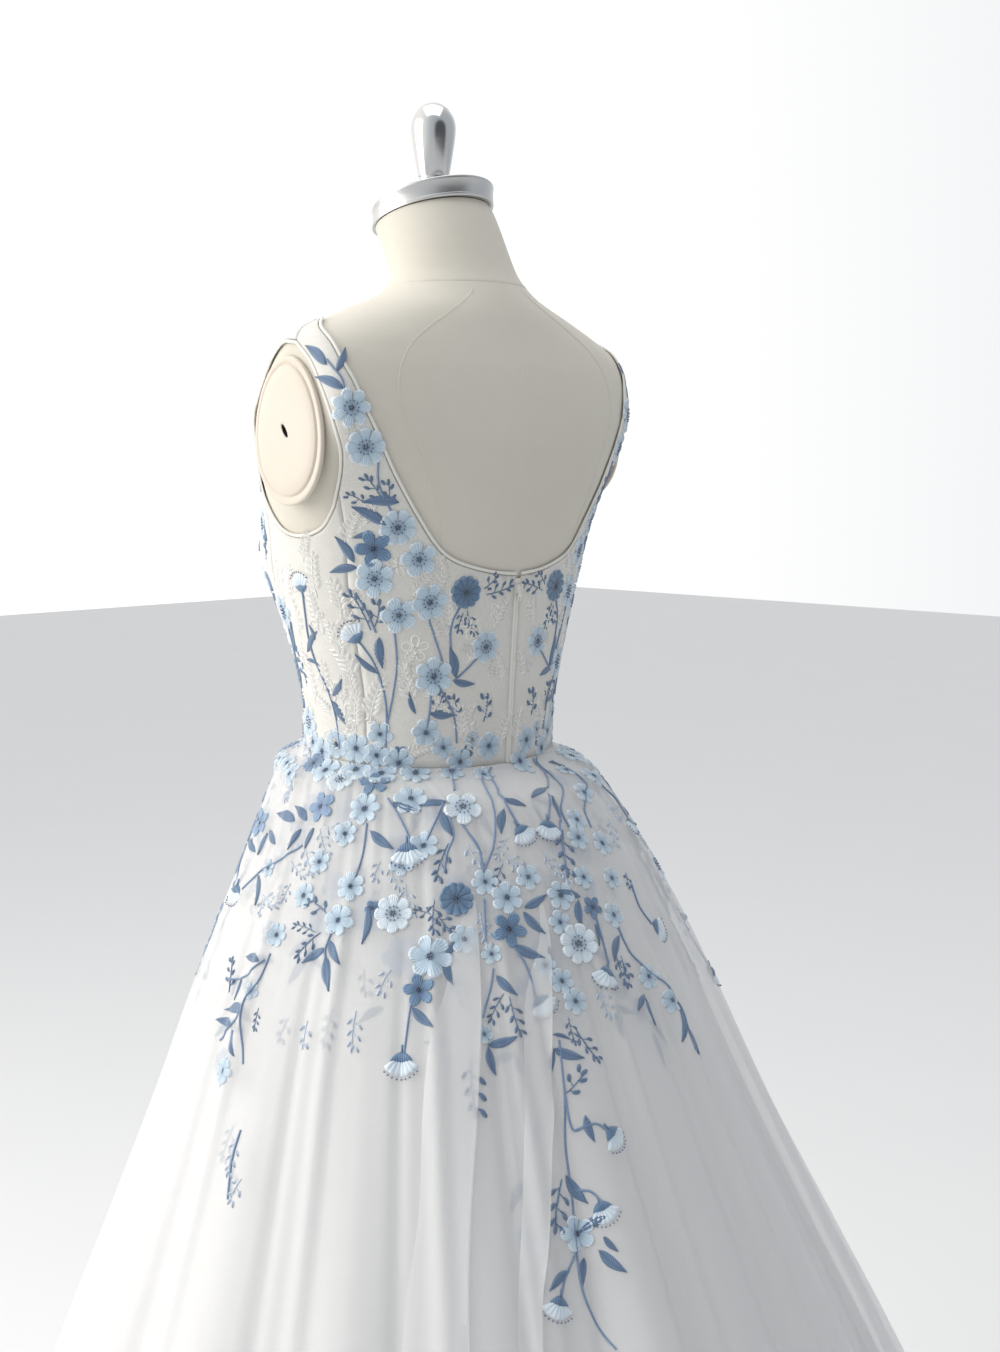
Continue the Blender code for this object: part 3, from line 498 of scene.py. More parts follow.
def start_material(name, colour, roughness, **sockets):
    """A Principled material with its plain values set on the shader itself."""
    made = bpy.data.materials.new(name)
    made.use_nodes = True
    tree = made.node_tree
    shader = tree.nodes["Principled BSDF"]
    shader.inputs["Base Color"].default_value = (*colour, 1)
    shader.inputs["Roughness"].default_value = roughness
    for key, value in sockets.items():
        socket = shader.inputs[key.replace("_", " ")]
        socket.default_value = (*value, 1) if isinstance(value, tuple) and len(value) == 3 else value
    made.diffuse_color = (*colour, 1)
    return made, tree, shader


def paint(tree, shader, factor, low, high):
    """Colour that goes from low to high."""
    link(tree, blend_colours(tree, factor, low, high), shader.inputs["Base Color"])


def bump(tree, shader, height, distance, strength=1.0):
    """Relief on the shader, on top of any that is there."""
    made = node(tree, "ShaderNodeBump")
    made.inputs["Strength"].default_value = strength
    made.inputs["Distance"].default_value = distance
    link(tree, height, made.inputs["Height"])
    target = shader.inputs["Normal"]
    if target.links:
        link(tree, target.links[0].from_socket, made.inputs["Normal"])
    link(tree, made.outputs["Normal"], target)


def linen_finish():
    """Cream linen pasted over the form, plain weave, slubs, a little soiled in places."""
    made, tree, shader = start_material("cream_linen", (0.68, 0.64, 0.55), 0.82, Sheen_Weight=0.15)
    across, up = own_map(tree)
    warp, weft = threads(tree, across, 0.0011), threads(tree, up, 0.0011)
    weave = value_of(tree, "MULTIPLY", warp, weft)
    slubs = noise(tree, 60.0, 5.0)
    blotches = noise(tree, 7.0, 4.0)
    warm = blend_colours(tree, blotches, (0.64, 0.60, 0.51), (0.71, 0.675, 0.59))
    paint(tree, shader, value_of(tree, "MULTIPLY", slubs, 0.35), warm, (0.76, 0.73, 0.65))
    bump(tree, shader, weave, 0.00012, 0.5)
    bump(tree, shader, slubs, 0.0004, 0.3)
    return made


def plate_finish():
    """The arm plates' smoother linen, a touch lighter and pinker."""
    made, tree, shader = start_material("plate_linen", (0.70, 0.62, 0.53), 0.6, Sheen_Weight=0.1)
    paint(tree, shader, noise(tree, 14.0, 4.0), (0.66, 0.585, 0.495), (0.73, 0.66, 0.57))
    bump(tree, shader, noise(tree, 1400.0, 2.0), 0.00006, 0.5)
    bump(tree, shader, noise(tree, 45.0, 3.0), 0.0003, 0.2)
    return made


def steel_finish(name, colour, roughness, brushed):
    """Polished or brushed steel, with fine marks."""
    made, tree, shader = start_material(name, colour, roughness, Metallic=1.0)
    place = node(tree, "ShaderNodeTexCoord").outputs["Object"]
    stretch = node(tree, "ShaderNodeMapping")
    stretch.inputs["Scale"].default_value = (30, 30, 2400) if brushed else (60, 60, 60)
    link(tree, place, stretch.inputs["Vector"])
    marks = noise(tree, 1.0, 3.0, stretch.outputs["Vector"])
    rough = value_of(tree, "MULTIPLY_ADD", marks, 0.16 if brushed else 0.08, roughness - 0.06)
    link(tree, rough, shader.inputs["Roughness"])
    paint(tree, shader, noise(tree, 26.0, 4.0), tuple(part * 0.82 for part in colour), colour)
    if brushed:
        bump(tree, shader, marks, 0.00003, 0.4)
    return made


def painted_finish():
    """Satin cream paint of the stand's foot, faintly uneven in tone."""
    made, tree, shader = start_material("stand_paint", (0.80, 0.77, 0.71), 0.42)
    paint(tree, shader, noise(tree, 9.0, 5.0), (0.76, 0.73, 0.67), (0.83, 0.80, 0.75))
    bump(tree, shader, noise(tree, 700.0, 2.0), 0.00005, 0.4)
    return made


def net_cords(tree, scale, edge):
    """A fine net in the cloth's own map, 1 on its cords."""
    net = node(tree, "ShaderNodeTexVoronoi", feature="DISTANCE_TO_EDGE")
    net.inputs["Scale"].default_value = scale
    link(tree, node(tree, "ShaderNodeUVMap", uv_map="cloth").outputs["UV"], net.inputs["Vector"])
    return value_of(tree, "SUBTRACT", 1, smooth_step(tree, net.outputs["Distance"], 0.02, edge))


def mesh_finish():
    """Nude mesh: a fine net over the linen, faintly cloudy."""
    made, tree, shader = start_material("nude_mesh", (0.80, 0.76, 0.70), 0.72, Sheen_Weight=0.35)
    cords = net_cords(tree, 900.0, 0.22)
    ground = blend_colours(tree, noise(tree, 12.0, 3.0), (0.62, 0.605, 0.55), (0.70, 0.69, 0.64))
    paint(tree, shader, value_of(tree, "MULTIPLY", cords, 0.6), ground, (0.86, 0.84, 0.80))
    bump(tree, shader, cords, 0.00012, 0.5)
    return made


def binding_finish():
    """Narrow folded satin edge, ivory, with fine twists along it, painted lighter on each twist's crest as a
    painted highlight.
    """
    made, tree, shader = start_material("ivory_binding", (0.84, 0.82, 0.76), 0.5, Sheen_Weight=0.3)
    across, up = own_map(tree)
    twists = threads(tree, value_of(tree, "ADD", up, value_of(tree, "MULTIPLY", across, 0.6)), 0.0009)
    # Painted highlight: each twist's crest is painted lighter, and the groove between twists darker as
    # painted shade.
    paint(tree, shader, value_of(tree, "MULTIPLY", twists, 0.5), (0.78, 0.76, 0.70), (0.88, 0.87, 0.82))
    bump(tree, shader, twists, 0.0001, 0.4)
    return made


def satin_finish():
    """The soft ivory lining, a fine twill with a low sheen."""
    made, tree, shader = start_material("ivory_satin", (0.92, 0.90, 0.86), 0.55, Sheen_Weight=0.4)
    across, up = own_map(tree)
    twill = threads(tree, value_of(tree, "ADD", up, across), 0.0009)
    paint(tree, shader, noise(tree, 5.0, 3.0), (0.90, 0.88, 0.84), (0.94, 0.925, 0.89))
    bump(tree, shader, twill, 0.00008, 0.3)
    return made


def tulle_finish(name, colour, alpha):
    """Sheer soft tulle with a fine net."""
    made, tree, shader = start_material(name, colour, 0.9, Sheen_Weight=0.35, Alpha=alpha)
    cords = net_cords(tree, 620.0, 0.2)
    paint(tree, shader, cords, colour, tuple(min(part * 1.05, 0.97) for part in colour))
    bump(tree, shader, cords, 0.00012, 0.4)
    made.surface_render_method = "DITHERED"
    return made


def thread_finish(name, deep, pale, rim, rough=0.55):
    """Satin-stitched thread: fine stitches round the motif, deeper at the heart and pale at the rim, painted
    paler on each stitch's crest as a painted highlight.
    """
    made, tree, shader = start_material(name, pale, rough, Sheen_Weight=0.45)
    stitch, reach = own_map(tree, "stitches")
    rows = threads(tree, stitch, 1.0)
    gradient = smooth_step(tree, reach, 0.10, 0.75)
    body = blend_colours(tree, gradient, deep, pale)
    edged = blend_colours(tree, smooth_step(tree, reach, 0.80, 0.95), body, rim)
    uneven = blend_colours(tree, value_of(tree, "MULTIPLY", noise(tree, 130.0, 3.0), 0.5), edged, deep)
    # Painted highlight: the stitches' crests are painted towards the pale rim colour, leaving painted shade
    # in the grooves between them.
    paint(tree, shader, value_of(tree, "MULTIPLY", rows, 0.38), uneven, rim)
    bump(tree, shader, rows, 0.00032, 0.9)
    return made


def plain_thread_finish(name, colour, paler):
    """Corded thread of stems and twigs."""
    made, tree, shader = start_material(name, colour, 0.6, Sheen_Weight=0.4)
    strands = noise(tree, 420.0, 3.0)
    paint(tree, shader, strands, colour, paler)
    bump(tree, shader, strands, 0.0003, 0.6)
    return made


def bead_finish():
    """Small glass beads in the flowers' hearts."""
    made, tree, shader = start_material("heart_beads", (0.09, 0.14, 0.25), 0.25, Coat_Weight=0.6)
    paint(tree, shader, noise(tree, 300.0, 2.0), (0.07, 0.11, 0.20), (0.18, 0.26, 0.40))
    return made


def enamel_finish(name, colour, rough):
    """Cream enamel of the slider and its tab."""
    made, tree, shader = start_material(name, colour, rough, Coat_Weight=0.3)
    paint(tree, shader, noise(tree, 210.0, 3.0), colour, tuple(min(part * 1.06, 0.98) for part in colour))
    bump(tree, shader, noise(tree, 900.0, 2.0), 0.00003, 0.4)
    return made


def painted_hole_shade_finish():
    """Painted shade for the inside of small holes: a near-black finish with slight random tone."""
    made, tree, shader = start_material("hole_shadow", (0.02, 0.017, 0.014), 0.9)
    paint(tree, shader, noise(tree, 400.0, 2.0), (0.012, 0.010, 0.008), (0.035, 0.03, 0.025))
    return made


LINEN, PLATE = linen_finish(), plate_finish()
CAP_STEEL = steel_finish("brushed_cap", (0.72, 0.72, 0.71), 0.30, True)
KNOB_STEEL = steel_finish("polished_knob", (0.80, 0.80, 0.79), 0.16, False)
POLE_STEEL = steel_finish("stand_pole", (0.70, 0.70, 0.70), 0.32, True)
PAINT = painted_finish()
NUDE_MESH, BINDING, SATIN = mesh_finish(), binding_finish(), satin_finish()
OUTER_TULLE = tulle_finish("outer_tulle", (0.95, 0.955, 0.96), 0.32)
INNER_TULLE = tulle_finish("inner_tulle", (0.94, 0.94, 0.935), 0.36)
ICE = thread_finish("ice_blue_thread", (0.30, 0.44, 0.59), (0.53, 0.67, 0.78), (0.76, 0.84, 0.89))
MIDDLE_BLUE = thread_finish("middle_blue_thread", (0.13, 0.22, 0.38), (0.22, 0.34, 0.52), (0.36, 0.48, 0.64))
WHITE = thread_finish("pale_thread", (0.46, 0.60, 0.73), (0.70, 0.80, 0.87), (0.89, 0.925, 0.95))
PALE_BLUE = thread_finish("pale_twig_thread", (0.44, 0.53, 0.66), (0.55, 0.63, 0.73), (0.70, 0.76, 0.83))
DUSTY = thread_finish("dusty_blue_thread", (0.064, 0.132, 0.245), (0.114, 0.22, 0.37), (0.225, 0.35, 0.51))
LEAF = thread_finish("leaf_thread", (0.065, 0.125, 0.24), (0.115, 0.20, 0.335), (0.25, 0.35, 0.49))
LACE = thread_finish("ivory_lace_thread", (0.86, 0.84, 0.79), (0.93, 0.92, 0.88), (0.96, 0.955, 0.93))
STEM = plain_thread_finish("stem_thread", (0.12, 0.19, 0.33), (0.24, 0.33, 0.48))
BEADS = bead_finish()
ENAMEL = enamel_finish("cream_enamel", (0.78, 0.76, 0.70), 0.35)
# Near-black painted shade, set inside the arm plates' slots and the set screw's socket.
HOLE_SHADE_PAINT = painted_hole_shade_finish()


# Camera, floor and lights.


def set_camera():
    """The camera behind the wearer's left side, a little above the waist, as fitted to the photo's frame."""
    frame_height, focal_length, axis_aside = 1352, 1725, 72.5
    bearing, distance, above_waist, tip = math.radians(43), 1.5, 0.25, math.radians(-7.2)
    toward = Vector((math.sin(bearing), math.cos(bearing), 0))
    look = Matrix.Rotation(-math.atan2(axis_aside, focal_length), 3, "Z") @ -toward
    look = Matrix.Rotation(tip, 3, look.cross(Vector((0, 0, 1)))) @ look
    lens = bpy.data.cameras.new("camera")
    lens.sensor_fit = "VERTICAL"
    lens.sensor_height = 36
    lens.lens = focal_length / frame_height * 36
    camera = new_object("camera", lens)
    camera.location = Vector((0, AXIS_Y, WAIST_Z + above_waist)) + toward * distance
    camera.rotation_euler = look.to_track_quat("-Z", "Y").to_euler()
    bpy.context.scene.camera = camera
    return toward


def set_stage(toward):
    """A plain pale floor, a soft window light on the wearer's left, a soft light above, and white walls."""
    floor = bpy.data.meshes.new("floor")
    reach = 12
    corners = [(-reach, -reach, 0), (reach, -reach, 0), (reach, reach, 0), (-reach, reach, 0)]
    floor.from_pydata(corners, [], [(0, 1, 2, 3)])
    ground = new_object("floor", floor)
    made, tree, shader = start_material("floor_paint", (0.80, 0.80, 0.80), 0.9)
    paint(tree, shader, noise(tree, 3.0, 2.0), (0.79, 0.79, 0.79), (0.81, 0.81, 0.81))
    floor.materials.append(made)
    left = Vector((toward.y, -toward.x, 0))
    lamps = (
        ("window", left * 2.7 + toward * 0.3 + Vector((0, 0, 1.9)), 58, (1.0, 0.965, 0.915)),
        ("top", toward * 0.2 + Vector((0, 0, 3.4)), 20, (1.0, 0.985, 0.96)),
    )
    for name, place, power, colour in lamps:
        lamp = bpy.data.lights.new(name, "AREA")
        lamp.energy = power
        lamp.size = 2.2
        lamp.color = colour
        holder = new_object(name, lamp)
        holder.location = place + Vector((0, AXIS_Y, 0))
        aim = Vector((0, AXIS_Y, 1.1)) - holder.location
        holder.rotation_euler = aim.to_track_quat("-Z", "Y").to_euler()
    bright_side = (left * 0.85 - toward * 0.52).normalized()
    dark_side = (toward * 0.80 - left * 0.60).normalized()
    bpy.context.scene.world = studio_world(bright_side, dark_side)
    bpy.context.scene.view_settings.view_transform = "Standard"


def studio_world(bright_side, dark_side):
    """White walls, brighter on the window's side and behind, cooler to the right, with one darker corner."""
    world = bpy.data.worlds.new("studio")
    world.use_nodes = True
    tree = world.node_tree

    def toward_side(side, low, high):
        facing = node(tree, "ShaderNodeVectorMath", operation="DOT_PRODUCT")
        link(tree, node(tree, "ShaderNodeTexCoord").outputs["Generated"], facing.inputs[0])
        facing.inputs[1].default_value = side
        return smooth_step(tree, facing.outputs["Value"], low, high)

    bright = toward_side(bright_side, -0.7, 0.8)
    background = tree.nodes["Background"]
    link(tree, blend_colours(tree, bright, (0.88, 0.93, 1.0), (1.0, 0.99, 0.97)), background.inputs["Color"])
    walls = value_of(tree, "MULTIPLY_ADD", bright, 0.61, 0.54)
    corner = value_of(tree, "MULTIPLY_ADD", toward_side(dark_side, 0.80, 0.93), -0.8, 1.0)
    link(tree, value_of(tree, "MULTIPLY", walls, corner), background.inputs["Strength"])
    return world


set_stage(set_camera())


# The dress form.


def form_skin():
    """The torso, fine and smooth, closed at the bottom and at the neck."""
    spokes = 144
    heights = [-0.25 + 0.25 * step / 12 for step in range(12)] + [0.45 * step / 112 for step in range(113)]
    points, uvs = [], []
    for height in heights:
        for k in range(spokes):
            angle = 2 * math.pi * k / spokes
            points.append(form_point(angle, height, FORM_BUST_RISE))
            uvs.append((BODICE_ROUND * (angle if angle <= math.pi else angle - 2 * math.pi), height))
    thing = add_mesh("form_skin", points, ring_faces(len(heights), spokes), LINEN, 50.0, uvs)
    return piece(thing, ("form_torso",))


def form_seam(name, stations, width=0.0011, height=0.00035):
    """A fine raised seam line along stations on the bare form."""
    points = []
    for index, (angle, up) in enumerate(stations):
        before, after = stations[max(index - 1, 0)], stations[min(index + 1, len(stations) - 1)]

        def bare(turn, rise):
            return form_point(turn, rise, FORM_BUST_RISE)

        here = bare(math.radians(angle), up)
        normal = outward(bare, math.radians(angle), up)
        along = bare(math.radians(after[0]), after[1]) - bare(math.radians(before[0]), before[1])
        beside = along.cross(normal).normalized()
        profile = ((-1.0, -0.0003), (-0.5, height), (0, height * 0.35), (0.5, height), (1.0, -0.0003))
        for aside, lift in profile:
            points.append(here + beside * aside * width + normal * lift)
    faces = flipped(grid_faces(len(stations), 5))
    return points, faces


# The form's princess seams, behind and in front: angle and height. They are guessed from common forms.
PRINCESS_SEAMS = (
    ((24, 0.386), (34, 0.345), (38, 0.3), (35, 0.24), (30, 0.17), (24, 0.08), (20, 0)),
    ((156, 0.386), (146, 0.345), (146, 0.29), (150, 0.22), (152, 0.15), (158, 0.06), (161, 0)),
)


def form_seams():
    """The form's own seams: round the neck, down the centre back and front, and the princess seams."""
    neck = [(angle, 0.3905 + 0.0025 * math.cos(math.radians(angle))) for angle in range(-180, 181, 3)]
    runs = [neck] + [[(angle, 0.39 - 0.004 * step) for step in range(98)] for angle in (0, 180)]
    for side in (-1, 1):
        for rows in PRINCESS_SEAMS:
            runs.append([(side * angle, height) for angle, height in smooth_path(rows, 90)])
    points, faces = [], []
    for run in runs:
        more, quads = form_seam("", run)
        faces += [tuple(len(points) + index for index in quad) for quad in quads]
        points += more
    return piece(add_mesh("form_seams", points, faces, LINEN))


def arm_plates():
    """An egg-shaped plate on each side, with a soft bulge, a rounded rim and a small slot at its middle."""
    rings = (
        (1, 0), (1, 0.0018), (0.994, 0.0027), (0.975, 0.0031), (0.905, 0.0033), (0.892, 0.0026),
        (0.88, 0.0026), (0.866, 0.004), (0.845, 0.0046), (0.7, 0.0052), (0.5, 0.0056), (0.3, 0.0058),
        (0.14, 0.006), (0.098, 0.006), (0.088, 0.0055), (0.082, 0.003),
    )
    spokes = 72
    for name, side in (("arm_plate_left", 1), ("arm_plate_right", -1)):
        points = []
        for reach, height in rings:
            squeeze, lean = (1.0, 0.0) if reach > 0.1 else (0.72, -0.55)
            for k in range(spokes):
                turn = 2 * math.pi * k / spokes
                up = math.cos(turn) * PLATE_HALF_HEIGHT * reach
                width = PLATE_HALF_WIDTH * (1 - PLATE_TAPER * up / PLATE_HALF_HEIGHT) * squeeze
                y = PLATE_Y + AXIS_Y + math.sin(turn) * width * reach + lean * up
                points.append((side * (ARM_FACE_X + GAP + height), y, WAIST_Z + PLATE_HEIGHT + up))
        faces = ring_faces(len(rings), spokes)
        thing = add_mesh(name + "_skin", points, flipped(faces) if side < 0 else faces, PLATE, 60.0)
        # The slot's walls and floor are painted near black, as painted shade inside the slot.
        thing.data.materials.append(HOLE_SHADE_PAINT)
        slot_walls = range((len(rings) - 2) * spokes, (len(rings) - 1) * spokes)
        for index in (*slot_walls, len(faces) - 1):
            thing.data.polygons[index].material_index = 1
        piece(thing, (name,))


def neck_fittings():
    """The polished band round the sloping neck, and the turned knob on its collar."""
    spokes = 96
    low, high = FORM_ROWS[-1][0], smooth_row(FORM_ROWS, FORM_ROWS[-1][0])
    centre_y = (high[2] + high[3]) / 2 + AXIS_Y
    rings = (
        (0.0004, 0.0), (0.0, 0.0005), (0.0, 0.0022), (0.0003, 0.0026), (0.0003, CAP_HEIGHT - 0.0032),
        (0.0, CAP_HEIGHT - 0.0027), (0.0, CAP_HEIGHT - 0.0010), (0.0004, CAP_HEIGHT - 0.0003),
        (0.0012, CAP_HEIGHT), (0.0090, CAP_HEIGHT), (0.0340, CAP_HEIGHT),
    )
    points = []
    for inset, rise in rings:
        for k in range(spokes):
            turn = 2 * math.pi * k / spokes
            y = (CAP_RADIUS - inset) * math.cos(turn) + centre_y
            slope = NECK_SLOPE * (y - AXIS_Y - NECK_Y)
            points.append(((CAP_RADIUS - inset) * math.sin(turn), y, WAIST_Z + low + 2 * GAP + rise + slope))
    band = add_mesh("neck_band", points, ring_faces(len(rings), spokes), CAP_STEEL, 35.0)
    piece(band, ("neck_cap",))

    steps = 72
    base = WAIST_Z + low + 3 * GAP + CAP_HEIGHT + KNOB_ROWS[-3][0] * NECK_SLOPE
    rows = list(reversed(KNOB_ROWS))
    points = []
    for radius, height in rows:
        for k in range(steps):
            turn = 2 * math.pi * k / steps
            across, along = radius * math.sin(turn), radius * math.cos(turn)
            points.append((across, AXIS_Y + NECK_Y + along, base + height))
    faces = grid_faces(len(rows), steps, ring=True)
    thing = add_mesh("knob_turned", points, faces, KNOB_STEEL, 32.0)
    weld = thing.modifiers.new("tips", "WELD")
    weld.merge_threshold = 0.00005
    settle(thing)
    piece(thing, ("knob",))

    aim = Vector((math.sin(math.radians(56)), math.cos(math.radians(56)), 0))
    rim, middle = [], Vector((0, AXIS_Y + NECK_Y, base + 0.0062))
    up = Vector((0, 0, 1))
    beside = aim.cross(up)
    for radius, depth in ((0.0020, 0.0124), (0.0020, 0.0131), (0.0013, 0.0131), (0.0012, 0.0127)):
        for k in range(20):
            turn = 2 * math.pi * k / 20
            rim.append(middle + aim * depth + (beside * math.sin(turn) + up * math.cos(turn)) * radius)
    faces = flipped(grid_faces(4, 20, ring=True))
    faces.append(tuple(60 + k for k in range(20)))
    faces.append(tuple(reversed(range(20))))
    thing = add_mesh("knob_set_screw", rim, faces, CAP_STEEL, 40.0)
    # The floor of the screw's socket is painted near black, as painted shade inside the hole.
    thing.data.materials.append(HOLE_SHADE_PAINT)
    thing.data.polygons[len(faces) - 2].material_index = 1
    piece(thing)


form_skin()
form_seams()
arm_plates()
neck_fittings()
for name, finish, slot in (("pole", POLE_STEEL, "stand_pole"), ("foot", PAINT, "stand_foot")):
    dress_in(nodes[name], finish)


# The bodice.


def seam_station(row):
    """How far up a side seam a row of the bodice starts, closer together beside the neckline."""
    if row <= WAIST_ROWS:
        return MIDDLE_START * row / WAIST_ROWS
    return MIDDLE_START + (1 - MIDDLE_START) * (row - WAIST_ROWS) / MIDDLE_ROWS


def panel(name, side, centre_edge, outer_edge, neckline, armhole):
    """A bodice piece from the waist to the shoulder, and its strap."""
    inner_edge = [centre_edge(row / WAIST_ROWS, neckline[0][1]) for row in range(WAIST_ROWS)]
    inner_edge += smooth_path(neckline, MIDDLE_ROWS + STRAP_ROWS)
    seam_rows = WAIST_ROWS + MIDDLE_ROWS
    side_edge = [outer_edge(seam_station(row), armhole[0][1]) for row in range(seam_rows)]
    side_edge += smooth_path(armhole, STRAP_ROWS)
    rows = list(zip(inner_edge, side_edge))
    points, uvs = [], []
    for row, (inner, outer) in enumerate(rows):
        for column in range(BODICE_COLUMNS + 1):
            part = column / BODICE_COLUMNS
            angle = inner[0] + (outer[0] - inner[0]) * part
            height = inner[1] + (outer[1] - inner[1]) * part
            straight_seam = seam_height(inner[0]) * (1 - part) + seam_height(outer[0]) * part
            height += (seam_height(angle) - straight_seam) * max(1 - row / WAIST_ROWS, 0)
            points.append(on_form(side * angle, height, BODICE_CLEARANCE))
            uvs.append((math.radians(angle) * BODICE_ROUND, height))
    faces = grid_faces(len(rows), BODICE_COLUMNS + 1)
    if side * (rows[0][1][0] - rows[0][0][0]) < 0:
        faces = flipped(faces)
    return add_mesh(name, points, faces, NUDE_MESH, 50.0, uvs)


def mirrored(thing):
    """Add the other half of a piece that meets itself at the middle."""
    mirror = thing.modifiers.new("other half", "MIRROR")
    mirror.use_axis = (True, False, False)
    mirror.merge_threshold = 0.0001
    return thing


def bodice():
    """Both backs, both sides and the front, each a thin shell cut to the form."""
    seam_gap = math.degrees(GAP / 2 / WAIST_ROUND)

    def beside_zip(part, top):
        low = seam_height(0) + GAP
        height = low + (top - low) * part
        return [math.degrees(math.asin(ZIP_HALF_WIDTH / smooth_row(FORM_ROWS, height)[0])), height]

    def back_seam(part, top):
        low = seam_height(BACK_SEAM_ANGLE) + GAP
        return [BACK_SEAM_ANGLE - seam_gap, low + (top - low) * part]

    neckline = ((beside_zip(1, BACK_NECKLINE[0][1])[0], BACK_NECKLINE[0][1]),) + BACK_NECKLINE[1:]
    neckline = neckline[:-1] + ((BACK_NECKLINE[-1][0] - seam_gap, BACK_NECKLINE[-1][1]),)
    armhole = ((BACK_SEAM_ANGLE - seam_gap, BACK_ARMHOLE[0][1]),) + BACK_ARMHOLE[1:-1]
    armhole += ((BACK_ARMHOLE[-1][0] - seam_gap, BACK_ARMHOLE[-1][1]),)
    made = {}
    for word, side in (("left", 1), ("right", -1)):
        name = "bodice_back_" + word
        thing = thicken(panel(name + "_cloth", side, beside_zip, back_seam, neckline, armhole), BODICE_WALL)
        made[name] = piece(thing, (name,))

    def centre_front(part, top):
        low = seam_height(180) + GAP
        return [180.0, low + (top - low) * part]

    def front_seam(part, top):
        low = seam_height(FRONT_SEAM_ANGLE) + GAP
        return [FRONT_SEAM_ANGLE + seam_gap, low + (top - low) * part]

    neckline = FRONT_NECKLINE[:-1] + ((FRONT_NECKLINE[-1][0] + seam_gap, FRONT_NECKLINE[-1][1]),)
    armhole = ((FRONT_SEAM_ANGLE + seam_gap, FRONT_ARMHOLE[0][1]),) + FRONT_ARMHOLE[1:-1]
    armhole += ((FRONT_ARMHOLE[-1][0] + seam_gap, FRONT_ARMHOLE[-1][1]),)
    front = mirrored(panel("bodice_front_cloth", 1, centre_front, front_seam, neckline, armhole))
    made["bodice_front"] = piece(thicken(front, BODICE_WALL), ("bodice_front",))

    path = smooth_path(UNDERARM, 12 * SIDE_COLUMNS)
    first, last = BACK_SEAM_ANGLE + seam_gap, FRONT_SEAM_ANGLE - seam_gap
    edge = []
    for column in range(SIDE_COLUMNS + 1):
        angle = first + (last - first) * column / SIDE_COLUMNS
        edge.append([angle, min(path, key=lambda station: abs(station[0] - angle))[1]])
    for word, side in (("left", 1), ("right", -1)):
        points, uvs = [], []
        for row in range(WAIST_ROWS + MIDDLE_ROWS + 1):
            part = seam_station(row)
            for angle, top in edge:
                low = seam_height(angle) + GAP
                points.append(on_form(side * angle, low + (top - low) * part, BODICE_CLEARANCE))
                uvs.append((math.radians(angle) * BODICE_ROUND, low + (top - low) * part))
        faces = grid_faces(WAIST_ROWS + MIDDLE_ROWS + 1, SIDE_COLUMNS + 1)
        faces = flipped(faces) if side < 0 else faces
        name = "bodice_side_" + word
        thing = thicken(add_mesh(name + "_cloth", points, faces, NUDE_MESH, 50.0, uvs), BODICE_WALL)
        made[name] = piece(thing, (name,))
    return made, edge


def binding(name, path, ring, flip):
    """A rounded folded edge just past the cloth's edge."""
    profile = (
        (0, 0), (0, 0.6), (0.14, 0.93), (0.38, 1.08), (0.62, 1.08), (0.86, 0.93), (1, 0.6), (1, 0),
    )
    count = len(path)
    points, uvs = [], []
    run = 0.0
    for index, (angle, height) in enumerate(path):
        before = path[index - 1] if (ring or index) else path[index]
        after = path[(index + 1) % count] if (ring or index < count - 1) else path[index]
        along = on_form(*after, 0) - on_form(*before, 0)
        run += along.length / 2
        normal = outward(form_point, math.radians(angle), height)
        beside = normal.cross(along).normalized() * (-1 if flip else 1)
        edge = on_form(angle, height, BINDING_CLEARANCE)
        for across, up in profile:
            aside = beside * (BINDING_GAP + BINDING_WIDTH * across)
            points.append(edge + aside + normal * (BINDING_WALL * up))
            uvs.append((across * 0.004, run))
    size = len(profile)
    faces = []
    for index in range(count if ring else count - 1):
        for k in range(size):
            a, b = index * size + k, index * size + (k + 1) % size
            c, d = ((index + 1) % count) * size + (k + 1) % size, ((index + 1) % count) * size + k
            faces.append((a, b, c, d) if flip else (a, d, c, b))
    if not ring:
        ends = [tuple(range(size)), tuple(range((count - 1) * size, count * size))]
        faces.append(tuple(reversed(ends[0])) if flip else ends[0])
        faces.append(ends[1] if flip else tuple(reversed(ends[1])))
    return add_mesh(name, points, faces, BINDING, 70.0, uvs)


def bindings(edge):
    """The bound neckline, open at the zip, and both bound armholes."""
    back = smooth_path(BACK_NECKLINE, 110)
    front = smooth_path(FRONT_NECKLINE, 100)
    left = back[:-1] + list(reversed(front))
    right = [[360 - angle, height] for angle, height in reversed(left)]
    neck = left + right[1:]
    neckline = binding("neckline_binding_cloth", neck, False, True)
    made = [piece(neckline, ("neckline_binding",))]
    armhole = smooth_path(BACK_ARMHOLE, 64)[:-1]
    armhole += list(reversed(smooth_path(FRONT_ARMHOLE, 64)))[:-1]
    armhole += list(reversed(edge))[1:-1]
    for word, sign in (("left", 1), ("right", -1)):
        name = "armhole_binding_" + word
        path = [[sign * angle, height] for angle, height in armhole]
        made.append(piece(binding(name + "_cloth", path, True, sign < 0), (name,)))
    return made


bodice_cloths, underarm = bodice()
binding_cloths = bindings(underarm)


# The zip.


